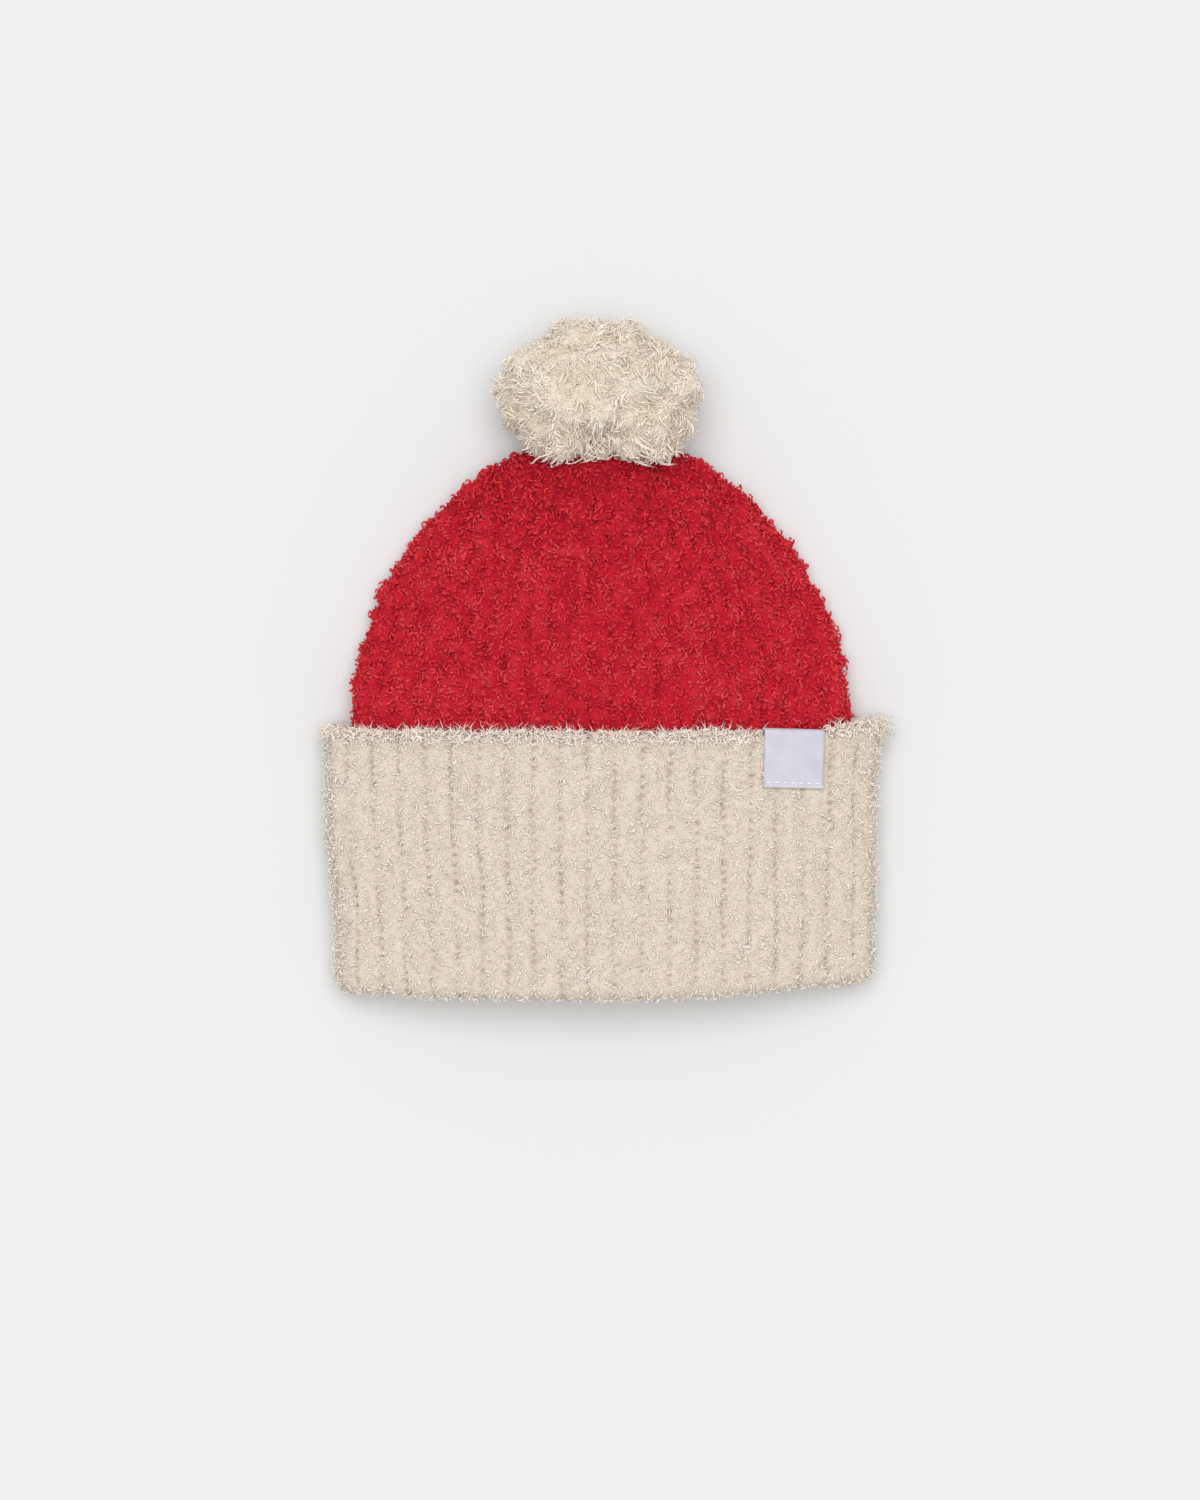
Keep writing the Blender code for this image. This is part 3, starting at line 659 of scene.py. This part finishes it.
def gather_dips(turns, along):
    """Depth of the gathers round one row of the crown."""
    dips = np.zeros(len(turns))
    for gather in GATHERS:
        apart = np.mod(turns - gather["turn"] + 0.5, 1.0) - 0.5
        fade = smooth((along - 1 + gather["reach"]) / gather["reach"])
        dips += gather["depth"] * GATHER_DEPTH * fade * np.exp(-((apart / GATHER_BREADTH) ** 2))
    return np.minimum(dips, 0.5 * KNIT_WALL)


def build_crown(finish):
    """The crown's knitted shell, outside and inside, and its skin for curls and fibres."""
    turns = rib_turns(CROWN_RIBS)
    lines = crown_lines()
    outer_steps = np.hypot(*np.diff(lines[:, :2], axis=0).T)
    travelled = np.concatenate([[0.0], np.cumsum(outer_steps)])
    wanted = np.linspace(0.0, travelled[-1], int(travelled[-1] / ROW_STEP))
    fine = spline(wanted, travelled, lines)
    fine[:, 0] = np.maximum(fine[:, 0], GATHER_HOLE)
    points, outward, loops = crown_frame(fine, turns)
    face = points + outward * BODY_FACE
    phase = rib_phase(turns, CROWN_RIBS)
    rib = np.floor(turns * CROWN_RIBS + 0.5)
    relief, dips, shade = [], [], []
    for row in range(len(fine)):
        share = np.clip(loops[row] / loops[0] * FULL_RIBS, 0.0, 1.0)
        along = (fine[row, 1] - EDGE_Y) / CROWN_HEIGHT
        height = knit_relief(face[row], phase, rib, wanted[row], share, CROWN_LUMPS, CROWN_PIT, CROWN_SEED)
        relief.append(height)
        dips.append(gather_dips(turns, along))
        shade.append(TIP_SHADE * smooth((along - 1 + TIP_SHADE_REACH) / TIP_SHADE_REACH))
    relief = np.array(relief)
    lift = relief - np.array(dips)
    # painted shade: the knit is darker in its hollows and pits, and near the tip
    tone = (relief + KNIT_SINK) / DEEPEST - np.array(shade)[:, None]
    lift[-1] = -KNIT_SINK
    outer = face + outward * lift[:, :, None]
    outer[:, :, 2] = np.maximum(outer[:, :, 2], KNIT_FLOOR)
    inner_rows = np.linspace(len(fine) - 1, 0, LINING_ROWS).astype(int)
    inner = (points + outward * LINING)[inner_rows]
    rings = np.concatenate([outer, inner])
    faces = ring_faces(len(rings), len(turns), closed=True)
    plain = np.zeros(inner.shape[:2])
    knit = mesh_object("crown_knit", rings, faces, finish, np.concatenate([tone, plain]))
    shown = fine[:, 1] > EDGE_Y - HIDDEN_CROWN
    return knit, Skin(outer[shown], relief[shown], tone[shown], CROWN_BARE)


def build_cuff(finish):
    """The cuff's knitted band, and the skins of its face and of its free edge."""
    turns = rib_turns(CUFF_RIBS)
    phase = rib_phase(turns, CUFF_RIBS)
    rib = np.floor(turns * CUFF_RIBS + 0.5)
    fold_radius = (CUFF_FACE - LINING) / 2
    fold_middle = (CUFF_FACE + LINING) / 2
    channel_y = FOLD_Y + fold_radius
    edge_round = EDGE_ROUND * CUFF_WALL
    rings, lifts = [], []

    def relief(flat, along, share=1.0):
        return knit_relief(flat, phase, rib, along, share, CUFF_LUMPS, CUFF_PIT, CUFF_SEED)

    def add(ring, lift):
        rings.append(ring)
        lifts.append(np.broadcast_to(lift, len(turns)))

    rows = int((CUFF_DEPTH - fold_radius - edge_round) / ROW_STEP)
    for y in np.linspace(EDGE_Y - edge_round, channel_y, rows):
        lift = relief(cuff_ring(y, CUFF_FACE, 1.0, turns), y)
        add(cuff_ring(y, CUFF_FACE + lift, 1.0, turns), lift)
    for step in range(1, FOLD_STEPS + 1):
        angle = math.pi * step / FOLD_STEPS
        turned_up = (1 + math.cos(angle)) / 2
        distance = fold_middle + fold_radius * math.cos(angle)
        forward = fold_radius * math.sin(angle)
        flat = cuff_ring(channel_y, distance, turned_up, turns, forward)
        lift = relief(flat, channel_y - angle * fold_radius, math.sqrt(turned_up))
        radius = fold_radius + lift
        distance = fold_middle + radius * math.cos(angle)
        add(cuff_ring(channel_y, distance, turned_up, turns, radius * math.sin(angle)), lift)
    for y in np.linspace(channel_y, SEAM_Y, LINING_ROWS)[1:]:
        add(cuff_ring(y, LINING + KNIT_SINK, 0.0, turns), -KNIT_SINK)
    for y in (SEAM_Y, channel_y):
        add(cuff_ring(y, BODY_FACE, 0.0, turns), -KNIT_SINK)
    for y in np.linspace(channel_y, EDGE_Y - edge_round, LINING_ROWS):
        add(cuff_ring(y, CUFF_BACK, 1.0, turns), -KNIT_SINK)
    edge_middle = (CUFF_BACK + CUFF_FACE) / 2
    for angle in np.radians([150, 120, 90, 60, 30]):
        distance = edge_middle + CUFF_WALL / 2 * math.cos(angle)
        flat = cuff_ring(EDGE_Y - edge_round, distance, 1.0, turns)
        lift = relief(flat, EDGE_Y, EDGE_RELIEF)
        radius = CUFF_WALL / 2 + lift
        distance = edge_middle + radius * math.cos(angle)
        forward = -radius * math.sin(angle) * edge_round / (CUFF_WALL / 2)
        add(cuff_ring(EDGE_Y - edge_round, distance, 1.0, turns, forward), lift)
    rings = np.array(rings)
    rings[:, :, 2] = np.maximum(rings[:, :, 2], KNIT_FLOOR)
    pressed = np.minimum(rings[:, :, 1], label_top(rings[:, :, 0] + CUFF_MIDDLE) - LABEL_GAP)
    rings[:, :, 1] = np.where(under_label(rings, LABEL_GAP), pressed, rings[:, :, 1])
    faces = ring_faces(len(rings), len(turns), closed=True)
    lifts = np.array(lifts)
    # painted shade: the knit is darker where its relief is low, in its hollows and pits
    tone = (lifts + KNIT_SINK) / DEEPEST
    knit = mesh_object("cuff_knit", rings, faces[:, ::-1], finish, tone)
    face_rows = np.arange(rows + FOLD_STEPS - 2, -1, -1)
    edge_rows = np.arange(1, -5, -1)  # the face's first two and the edge's last four
    skins = []
    for shown in (face_rows, edge_rows):
        skin = Skin(rings[shown], lifts[shown], tone[shown], CUFF_BARE)
        skin.weight[under_label(skin.grid, LABEL_MARGIN)] = 0.0
        skins.append(skin)
    return knit, *skins


def pompom_reach(ways):
    """Distance from the pompom's middle to its outline, in each direction."""
    angles = column(POMPOM_OUTLINE, "angle") + [360]
    shares = column(POMPOM_OUTLINE, "share") + [POMPOM_OUTLINE[0]["share"]]
    across = 2 * ways[..., 0] / POMPOM_WIDTH
    along = 2 * ways[..., 1] / POMPOM_LENGTH
    tall = 2 * np.abs(ways[..., 2]) / POMPOM_HEIGHT
    heading = np.degrees(np.arctan2(along, across)) % 360
    level = np.hypot(across, along) / np.interp(heading, angles, shares)
    return (level**POMPOM_FULLNESS + tall**POMPOM_FULLNESS) ** (-1 / POMPOM_FULLNESS)


def clear_of(points, tree, gap):
    """Moves the points that lie in the piece of the tree, or too near it, out of it."""
    flat = points.reshape(-1, 3)
    for i, point in enumerate(flat):
        near, normal, _, distance = tree.find_nearest(Vector(point))
        if distance < NEAR_CROWN and (Vector(point) - near).dot(normal) < gap:
            flat[i] = near + normal * gap
    return flat.reshape(points.shape)


def hold_in(points, most):
    """Draws points that stand out of the pompom's outline back to it."""
    ways = points - POMPOM_MIDDLE
    far = np.linalg.norm(ways, axis=-1)
    reach = pompom_reach(ways / np.maximum(far, 1e-9)[..., None])
    return POMPOM_MIDDLE + ways * np.minimum(1.0, most * reach / np.maximum(far, 1e-9))[..., None]


def build_pompom(finish, fit):
    """The pompom's mass of yarn in tufts, and its skin for strands and fibres."""
    rise = np.linspace(-1, 1, POMPOM_RINGS) * (math.pi / 2 - POMPOM_POLE)
    turn = 2 * math.pi * np.arange(POMPOM_COLUMNS) / POMPOM_COLUMNS
    level, high = np.cos(rise)[:, None], np.sin(rise)[:, None]
    ways = np.stack(np.broadcast_arrays(level * np.sin(turn), high, level * np.cos(turn)), axis=-1)
    face = ways * pompom_reach(ways)[..., None] * POMPOM_BODY
    lift = np.zeros(face.shape[:2])
    for number, tuft in enumerate(POMPOM_TUFTS):
        lift += tuft["height"] * (np.abs(rough(face, tuft["size"], POMPOM_SEED + number)) * 2 - 0.7)
    grid = fit(POMPOM_MIDDLE + face + ways * lift[..., None])
    ends = grid[[0, -1]].mean(axis=1)
    quads = ring_faces(POMPOM_RINGS, POMPOM_COLUMNS, closed=False)
    near = np.arange(POMPOM_COLUMNS)
    far = (near + 1) % POMPOM_COLUMNS
    last = (POMPOM_RINGS - 1) * POMPOM_COLUMNS
    bottom = np.stack([np.full(len(near), grid[..., 0].size), far, near], axis=1)
    top = np.stack([np.full(len(near), grid[..., 0].size + 1), last + near, last + far], axis=1)
    points = np.concatenate([grid.reshape(-1, 3), ends])
    faces = np.concatenate([quads[:, [0, 1, 2]], quads[:, [0, 2, 3]], bottom, top])
    # painted shade: the pompom's yarn is darker in the creases between its tufts
    tone = lift / (1.5 * POMPOM_TUFTS[0]["height"])
    body = mesh_object("pompom_yarn", points, faces, finish, np.append(tone.ravel(), [0.0, 0.0]))
    return body, Skin(grid, lift, tone, POMPOM_BARE)


def build_strands(skin, finish, fit):
    """The cut ends of the pompom's yarn: wavy strands in small bundles that flop over."""
    draw = np.random.default_rng(STRAND_SEED)
    count = YARN_BUNDLES * BUNDLE_STRANDS
    parts = skin.scatter(YARN_BUNDLES, draw)
    place, normal, _, _, tone = (np.repeat(part, BUNDLE_STRANDS, axis=0) for part in parts)
    flows = np.stack([rough(parts[0], FLOP_SIZE, FLOP_SEED + axis) for axis in range(3)], axis=-1)
    flop = unit(np.cross(parts[1], flows + 0.25 * draw.normal(size=flows.shape)))
    lean = draw.uniform(0.5, 1.3, (YARN_BUNDLES, 1))
    heading = np.repeat(parts[1] * np.cos(lean) + flop * np.sin(lean), BUNDLE_STRANDS, axis=0)
    heading = unit(heading + 0.28 * draw.normal(size=heading.shape))
    length = STRAND_LENGTH * draw.uniform(0.6, 1.3, (count, 1, 1))
    wave = unit(np.cross(heading, draw.normal(size=heading.shape))) * draw.uniform(0.1, 0.7, (count, 1))
    share = np.linspace(0.0, 1.0, len(STRAND_PROFILE))[None, :, None]
    base = place - normal * 0.001 + draw.normal(size=place.shape) * 0.0005
    droop = normal[:, None] * length * 0.35 * share**2
    paths = base[:, None] + heading[:, None] * length * share - droop
    phase = draw.uniform(0, 6, (count, 1, 1))
    paths = paths + STRAND_WAVE * wave[:, None] * (np.sin(6.5 * share + phase) - np.sin(phase))
    thick = STRAND_RADIUS * draw.uniform(0.6, 1.3, (count, 1)) * np.array(STRAND_PROFILE)
    points, faces, along = tubes(fit(paths), thick, 3, unit(draw.normal(size=place.shape)))
    # painted shade: each strand is darker at its root in the pompom and painted lighter at its tip
    shade = np.repeat(tone, len(points) // count) + 0.9 * along - 0.5
    return mesh_object("pompom_strands", points, faces, finish, shade)


def build_loose_ends(finish, tree):
    """Yarn ends that hang from the pompom's lower side over the crown."""
    draw = np.random.default_rng(ENDS_SEED)
    turn = np.radians(np.linspace(*ENDS_TURN, LOOSE_ENDS) + draw.uniform(-3, 3, LOOSE_ENDS))
    stations = 9
    share = np.linspace(0, 1, stations)
    rise = np.radians(ENDS_RISE[0]) * (1 - share) + np.radians(ENDS_RISE[1]) * share
    sway = draw.uniform(-0.4, 0.4, (LOOSE_ENDS, 1)) * share**1.5
    turn = turn[:, None] + sway + 0.04 * np.sin(9 * share + draw.uniform(0, 6, (LOOSE_ENDS, 1)))
    ways = (np.cos(turn) * np.cos(rise), np.sin(turn) * np.cos(rise), np.sin(rise))
    ways = np.stack(np.broadcast_arrays(*ways), axis=-1)
    far = 0.86 + share * draw.uniform(0.1, 0.22, (LOOSE_ENDS, 1))
    paths = ways * (pompom_reach(ways) * far)[..., None] + POMPOM_MIDDLE
    paths = clear_of(paths, tree, END_GAP)
    thick = END_RADIUS * draw.uniform(0.7, 1.2, (LOOSE_ENDS, 1)) * np.append(np.ones(stations - 1), 0.0)
    points, faces, _ = tubes(paths, thick, 5, np.tile([0.1, 0.2, 1.0], (LOOSE_ENDS, 1)))
    tone = np.repeat(draw.uniform(0.0, 1.0, LOOSE_ENDS), len(points) // LOOSE_ENDS)
    return mesh_object("pompom_ends", points, faces, finish, tone)


def face_point(across, y, distance):
    """A point at a distance from the lens, straight over the place (across, y) on the cuff's face."""
    half = cuff_halves(y)[1] - CUFF_FACE
    share = np.linspace(0.0, 1.0, DENSE_STEPS)
    angle = dome_angle(share, half, HOLLOW_RISE)
    share = np.interp(across, half * share + CUFF_FACE * np.cos(angle), share)
    angle = dome_angle(share, half, HOLLOW_RISE)
    x = half * share
    z = HOLLOW_RISE * (1 - share**DOME_POWER) + CUFF_FACE
    place = (x + distance * np.cos(angle) - CUFF_MIDDLE, y + bow(x, y), z + distance * np.sin(angle))
    return np.stack(np.broadcast_arrays(*place), axis=-1)


def label_top(across):
    """Place along Y of the label's upper end, which is straight and a little turned."""
    return EDGE_Y + LABEL_GAP + bow(LABEL_MIDDLE, EDGE_Y) - (across - LABEL_MIDDLE) * math.tan(LABEL_TURN)


def label_point(across, down, distance):
    """A point of the label at a distance down from its upper end."""
    leaned = across - down * math.tan(LABEL_TURN)
    point = face_point(leaned, EDGE_Y - down, distance)
    point[..., 1] = label_top(across) - down
    return point


def under_label(points, margin):
    """Which points lie under the label's outer leg, or within a margin of it."""
    across = points[..., 0] + CUFF_MIDDLE
    down = label_top(across) - points[..., 1]
    beside = np.abs(across - LABEL_MIDDLE) - LABEL_WIDTH / 2
    return (beside < margin) & (down < LABEL_LENGTH + margin) & (points[..., 2] > CUFF_FACE)


def build_label(finish):
    """Woven tape folded over the cuff's free edge, a little puckered, with one leg behind."""
    outside = CUFF_FACE + LABEL_GAP
    inside = CUFF_BACK - LABEL_GAP
    across = LABEL_MIDDLE + LABEL_WIDTH * (np.linspace(0, 1, LABEL_COLUMNS) - 0.5)
    side = np.abs(np.linspace(-1, 1, LABEL_COLUMNS))
    sheets = []
    for reach in (0.0, TAPE_THICKNESS):
        line = []
        for share in np.linspace(1, 0, LABEL_ROWS):
            down = LABEL_LENGTH * share
            pucker = 0.00016 * np.sin(9 * share + 5 * side) + 0.0006 * share**6 * side**4
            groove = 0.0003 * math.exp(-(((LABEL_LENGTH - down - STITCH_LINE) / 0.0005) ** 2))
            line.append((down, outside + reach + pucker * (1 - (1 - share) ** 8) - groove))
        for angle in np.radians([60, 90, 120]):
            middle = (outside + inside) / 2
            turn = (outside - inside) / 2 + reach
            line.append((-(0.0004 + reach) * math.sin(angle), middle + turn * math.cos(angle)))
        for share in np.linspace(0, 1, LABEL_ROWS // 2):
            line.append((LABEL_LENGTH * share, inside - reach))
        sheets.append(np.array([label_point(across, down, distance) for down, distance in line]))
    near, far = sheets
    ring = np.concatenate([near, far[:, ::-1]], axis=1)
    faces = ring_faces(ring.shape[0], ring.shape[1], closed=False)
    width = ring.shape[1]
    caps = []
    for row in (0, ring.shape[0] - 1):
        for i in range(LABEL_COLUMNS - 1):
            a = row * width + i
            b = row * width + width - 1 - i
            caps.append((a, a + 1, b - 1, b) if row else (b, b - 1, a + 1, a))
    return mesh_object("label_tape", ring, np.concatenate([faces, np.array(caps)]), finish)


def build_stitches(finish):
    """The row of sewing thread that holds the label, along its lower end."""
    pitch = LABEL_WIDTH * 0.94 / STITCHES
    start = LABEL_MIDDLE - pitch * STITCHES / 2
    share = np.linspace(0, 1, len(THREAD_PROFILE))
    lift = CUFF_FACE + LABEL_GAP + LABEL_THICKNESS * 0.55 + 0.0003 * np.sin(math.pi * share)
    down = LABEL_LENGTH - STITCH_LINE
    paths = [label_point(start + pitch * (i + 0.14 + 0.72 * share), down, lift) for i in range(STITCHES)]
    thick = np.tile(THREAD_RADIUS * np.array(THREAD_PROFILE), (STITCHES, 1))
    points, faces, _ = tubes(np.array(paths), thick, 6, np.tile([0.0, 0.0, 1.0], (STITCHES, 1)))
    return mesh_object("label_stitches", points, faces, finish)


def nodes_of(name):
    made = bpy.data.materials.new(name)
    made.use_nodes = True
    tree = made.node_tree
    return made, tree, tree.nodes["Principled BSDF"]


def set_inputs(node, values):
    for name, value in values.items():
        node.inputs[name].default_value = value


def add_node(tree, kind, values=None, **links):
    """A shader node with its values set and its inputs linked to the outputs of other nodes."""
    node = tree.nodes.new("ShaderNode" + kind)
    set_inputs(node, values or {})
    for name, output in links.items():
        tree.links.new(output, node.inputs[name])
    return node


def add_noise(tree, scale, detail, roughness=0.6):
    place = add_node(tree, "TexCoord").outputs["Object"]
    values = {"Scale": scale, "Detail": detail, "Roughness": roughness}
    return add_node(tree, "TexNoise", values, Vector=place).outputs["Fac"]


def add_range(tree, value, low, high, new_low, new_high):
    values = {"From Min": low, "From Max": high, "To Min": new_low, "To Max": new_high}
    return add_node(tree, "MapRange", values, Value=value).outputs["Result"]


def add_sum(tree, one, other):
    node = add_node(tree, "Math")
    tree.links.new(one, node.inputs[0])
    tree.links.new(other, node.inputs[1])
    return node.outputs["Value"]


def add_ramp(tree, value, stops):
    node = add_node(tree, "ValToRGB", Fac=value)
    elements = node.color_ramp.elements
    while len(elements) < len(stops):
        elements.new(0.5)
    for element, (place, colour) in zip(elements, stops):
        element.position = place
        element.color = (*colour, 1.0)
    return node.outputs["Color"]


def add_bump(tree, shader, height, strength, distance):
    node = add_node(tree, "Bump", {"Strength": strength, "Distance": distance}, Height=height)
    tree.links.new(node.outputs["Normal"], shader.inputs["Normal"])


def add_tone(tree, low, high):
    node = add_node(tree, "Attribute")
    node.attribute_name = "tone"
    return add_range(tree, node.outputs["Fac"], -1.0, 1.0, low, high)


def woolly(name, deep, middle, light, sheen):
    """Matt fibre with patches of lighter and deeper colour, a fine nap and a soft sheen."""
    made, tree, shader = nodes_of(name)
    patches = add_range(tree, add_noise(tree, 420.0, 3.0), 0.3, 0.7, -0.1, 0.1)
    specks = add_range(tree, add_noise(tree, 1400.0, 3.0), 0.3, 0.7, -0.16, 0.16)
    # the tone attribute carries painted shade in hollows and at roots, painted light at tips, and random
    # tone
    tone = add_tone(tree, 0.2, 0.8)
    value = add_sum(tree, add_sum(tree, tone, patches), specks)
    colour = add_ramp(tree, value, ((0.08, deep), (0.5, middle), (0.92, light)))
    tree.links.new(colour, shader.inputs["Base Color"])
    set_inputs(shader, {"Roughness": 0.92, "Specular IOR Level": 0.06})
    set_inputs(shader, {"Sheen Weight": 0.08, "Sheen Roughness": 0.5, "Sheen Tint": (*sheen, 1.0)})
    add_bump(tree, shader, add_noise(tree, 2200.0, 3.0, 0.7), 0.3, 0.0003)
    return made


def woven_tape(name):
    """Close satin weave: fine crossing threads, a cool white with a slight gloss."""
    made, tree, shader = nodes_of(name)
    place = add_node(tree, "TexCoord").outputs["Object"]
    threads = []
    for direction, scale in (("X", 900.0), ("Y", 620.0)):
        values = {"Scale": scale, "Distortion": 0.6, "Detail": 2.0}
        wave = add_node(tree, "TexWave", values, Vector=place)
        wave.bands_direction = direction
        threads.append(wave.outputs["Fac"])
    weave = add_sum(tree, threads[0], threads[1])
    cloudy = add_range(tree, add_noise(tree, 180.0, 2.0), 0.3, 0.7, -0.25, 0.25)
    value = add_sum(tree, add_range(tree, weave, 0.0, 2.0, 0.2, 0.8), cloudy)
    stops = ((0.0, (0.49, 0.48, 0.54)), (1.0, (0.63, 0.62, 0.69)))
    tree.links.new(add_ramp(tree, value, stops), shader.inputs["Base Color"])
    set_inputs(shader, {"Roughness": 0.55, "Specular IOR Level": 0.35, "Sheen Weight": 0.15})
    add_bump(tree, shader, weave, 0.35, 0.0001)
    return made


def sewing_thread(name):
    made, tree, shader = nodes_of(name)
    value = add_noise(tree, 3000.0, 2.0)
    stops = ((0.3, (0.86, 0.86, 0.9)), (0.7, (0.95, 0.95, 0.97)))
    tree.links.new(add_ramp(tree, value, stops), shader.inputs["Base Color"])
    set_inputs(shader, {"Roughness": 0.5})
    add_bump(tree, shader, value, 0.4, 0.0001)
    return made


def build_floor():
    """A pale plain floor."""
    made, tree, shader = nodes_of("floor_finish")
    set_inputs(shader, {"Base Color": FLOOR_COLOUR, "Roughness": 0.9, "Specular IOR Level": 0.1})
    bpy.ops.mesh.primitive_plane_add(size=FLOOR_SIZE, location=(0.0, 0.0, 0.0))
    floor = bpy.context.active_object
    floor.name = "floor"
    floor.data.materials.append(made)


def build_light():
    """One large soft light from beyond the pompom, and even light all round."""
    world = bpy.data.worlds.new("studio")
    world.use_nodes = True
    sky = world.node_tree.nodes["Background"]
    set_inputs(sky, {"Color": (1.0, 1.0, 1.0, 1.0), "Strength": SKY_STRENGTH})
    bpy.context.scene.world = world
    lamp = bpy.data.lights.new("softbox", "SUN")
    lamp.angle = LIGHT_BREADTH
    lamp.energy = LIGHT_STRENGTH
    softbox = bpy.data.objects.new("softbox", lamp)
    softbox.location = (0.0, 0.5, 1.5)
    softbox.rotation_euler = (-LIGHT_TILT, 0.0, 0.0)
    bpy.context.scene.collection.objects.link(softbox)


def build_camera():
    """The photo's view, from straight above."""
    camera = bpy.data.cameras.new("camera")
    camera.sensor_fit = "HORIZONTAL"
    camera.sensor_width = SENSOR_WIDTH
    camera.lens = SENSOR_WIDTH * (CAMERA_HEIGHT - EDGE_HEIGHT) / FRAME_WIDTH
    camera.clip_end = 20.0
    viewer = bpy.data.objects.new("camera", camera)
    viewer.location = (*FRAME_MIDDLE, CAMERA_HEIGHT)
    bpy.context.scene.collection.objects.link(viewer)
    bpy.context.scene.camera = viewer
    bpy.context.scene.view_settings.view_transform = "Standard"


def dress(piece, node=None):
    """Fixes a piece to the hat, and hides the solid that it stands for when one is named."""
    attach(piece, "root")
    if node:
        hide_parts(node)


def dress_pile(name, skin, finish, slot, fit, number):
    """The curls, fibres and nap of one skin. number sets their seeds apart from the others'."""
    nap = NAPS[name]
    if "curls" in nap:
        loops = (nap["curls"], CURL_SEED + number, finish, nap["radius"], nap["thick"], fit)
        dress(curls(name + "_curls", skin, *loops))
    bent = (nap["fibres"], FIBRE_SEED + number, finish, nap["long"], fit)
    dress(fibres(name + "_fibres", skin, *bent))
    if "nap" in nap:
        short = (nap["nap"], NAP_SEED + number, finish, nap["long"], fit)
        dress(fibres(name + "_nap", skin, *short, bent=False))


def main():
    wool = {}
    for name, colours in WOOLS.items():
        sheen = RED_SHEEN if name.startswith("red") else CREAM_SHEEN
        wool[name] = woolly(name, **colours, sheen=sheen)
    crown, crown_skin = build_crown(wool["red_knit"])
    cuff, cuff_skin, edge_skin = build_cuff(wool["cream_knit"])
    crown_tree = BVHTree.FromObject(crown, bpy.context.evaluated_depsgraph_get())

    def fit_pompom(paths):
        return keep_above(clear_of(hold_in(paths, POMPOM_FLUFF), crown_tree, PILE_GAP))

    pompom, pompom_skin = build_pompom(wool["cream_yarn"], fit_pompom)
    dress(crown, "crown")
    dress(cuff, "cuff")
    dress(pompom, "pompom")
    piles = (
        ("crown", crown_skin, wool["red_fibre"], "red_knit", keep_above),
        ("cuff", cuff_skin, wool["cream_fibre"], "cream_knit", keep_above),
        ("edge", edge_skin, wool["edge_fibre_painted_bounce"], "cream_knit", keep_above),
        ("pompom", pompom_skin, wool["cream_fluff"], "cream_yarn", fit_pompom),
    )
    for number, pile in enumerate(piles):
        dress_pile(*pile, number)
    dress(build_strands(pompom_skin, wool["cream_fluff"], fit_pompom))
    dress(build_loose_ends(wool["cream_fluff"], crown_tree))

    tape = build_label(woven_tape("white_tape"))
    dress(tape, "label")
    dress(build_stitches(sewing_thread("sewing_thread")))
    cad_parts["pompom_tie"].material_slots[0].material = wool["cream_yarn"]
    build_floor()
    build_light()
    build_camera()


main()
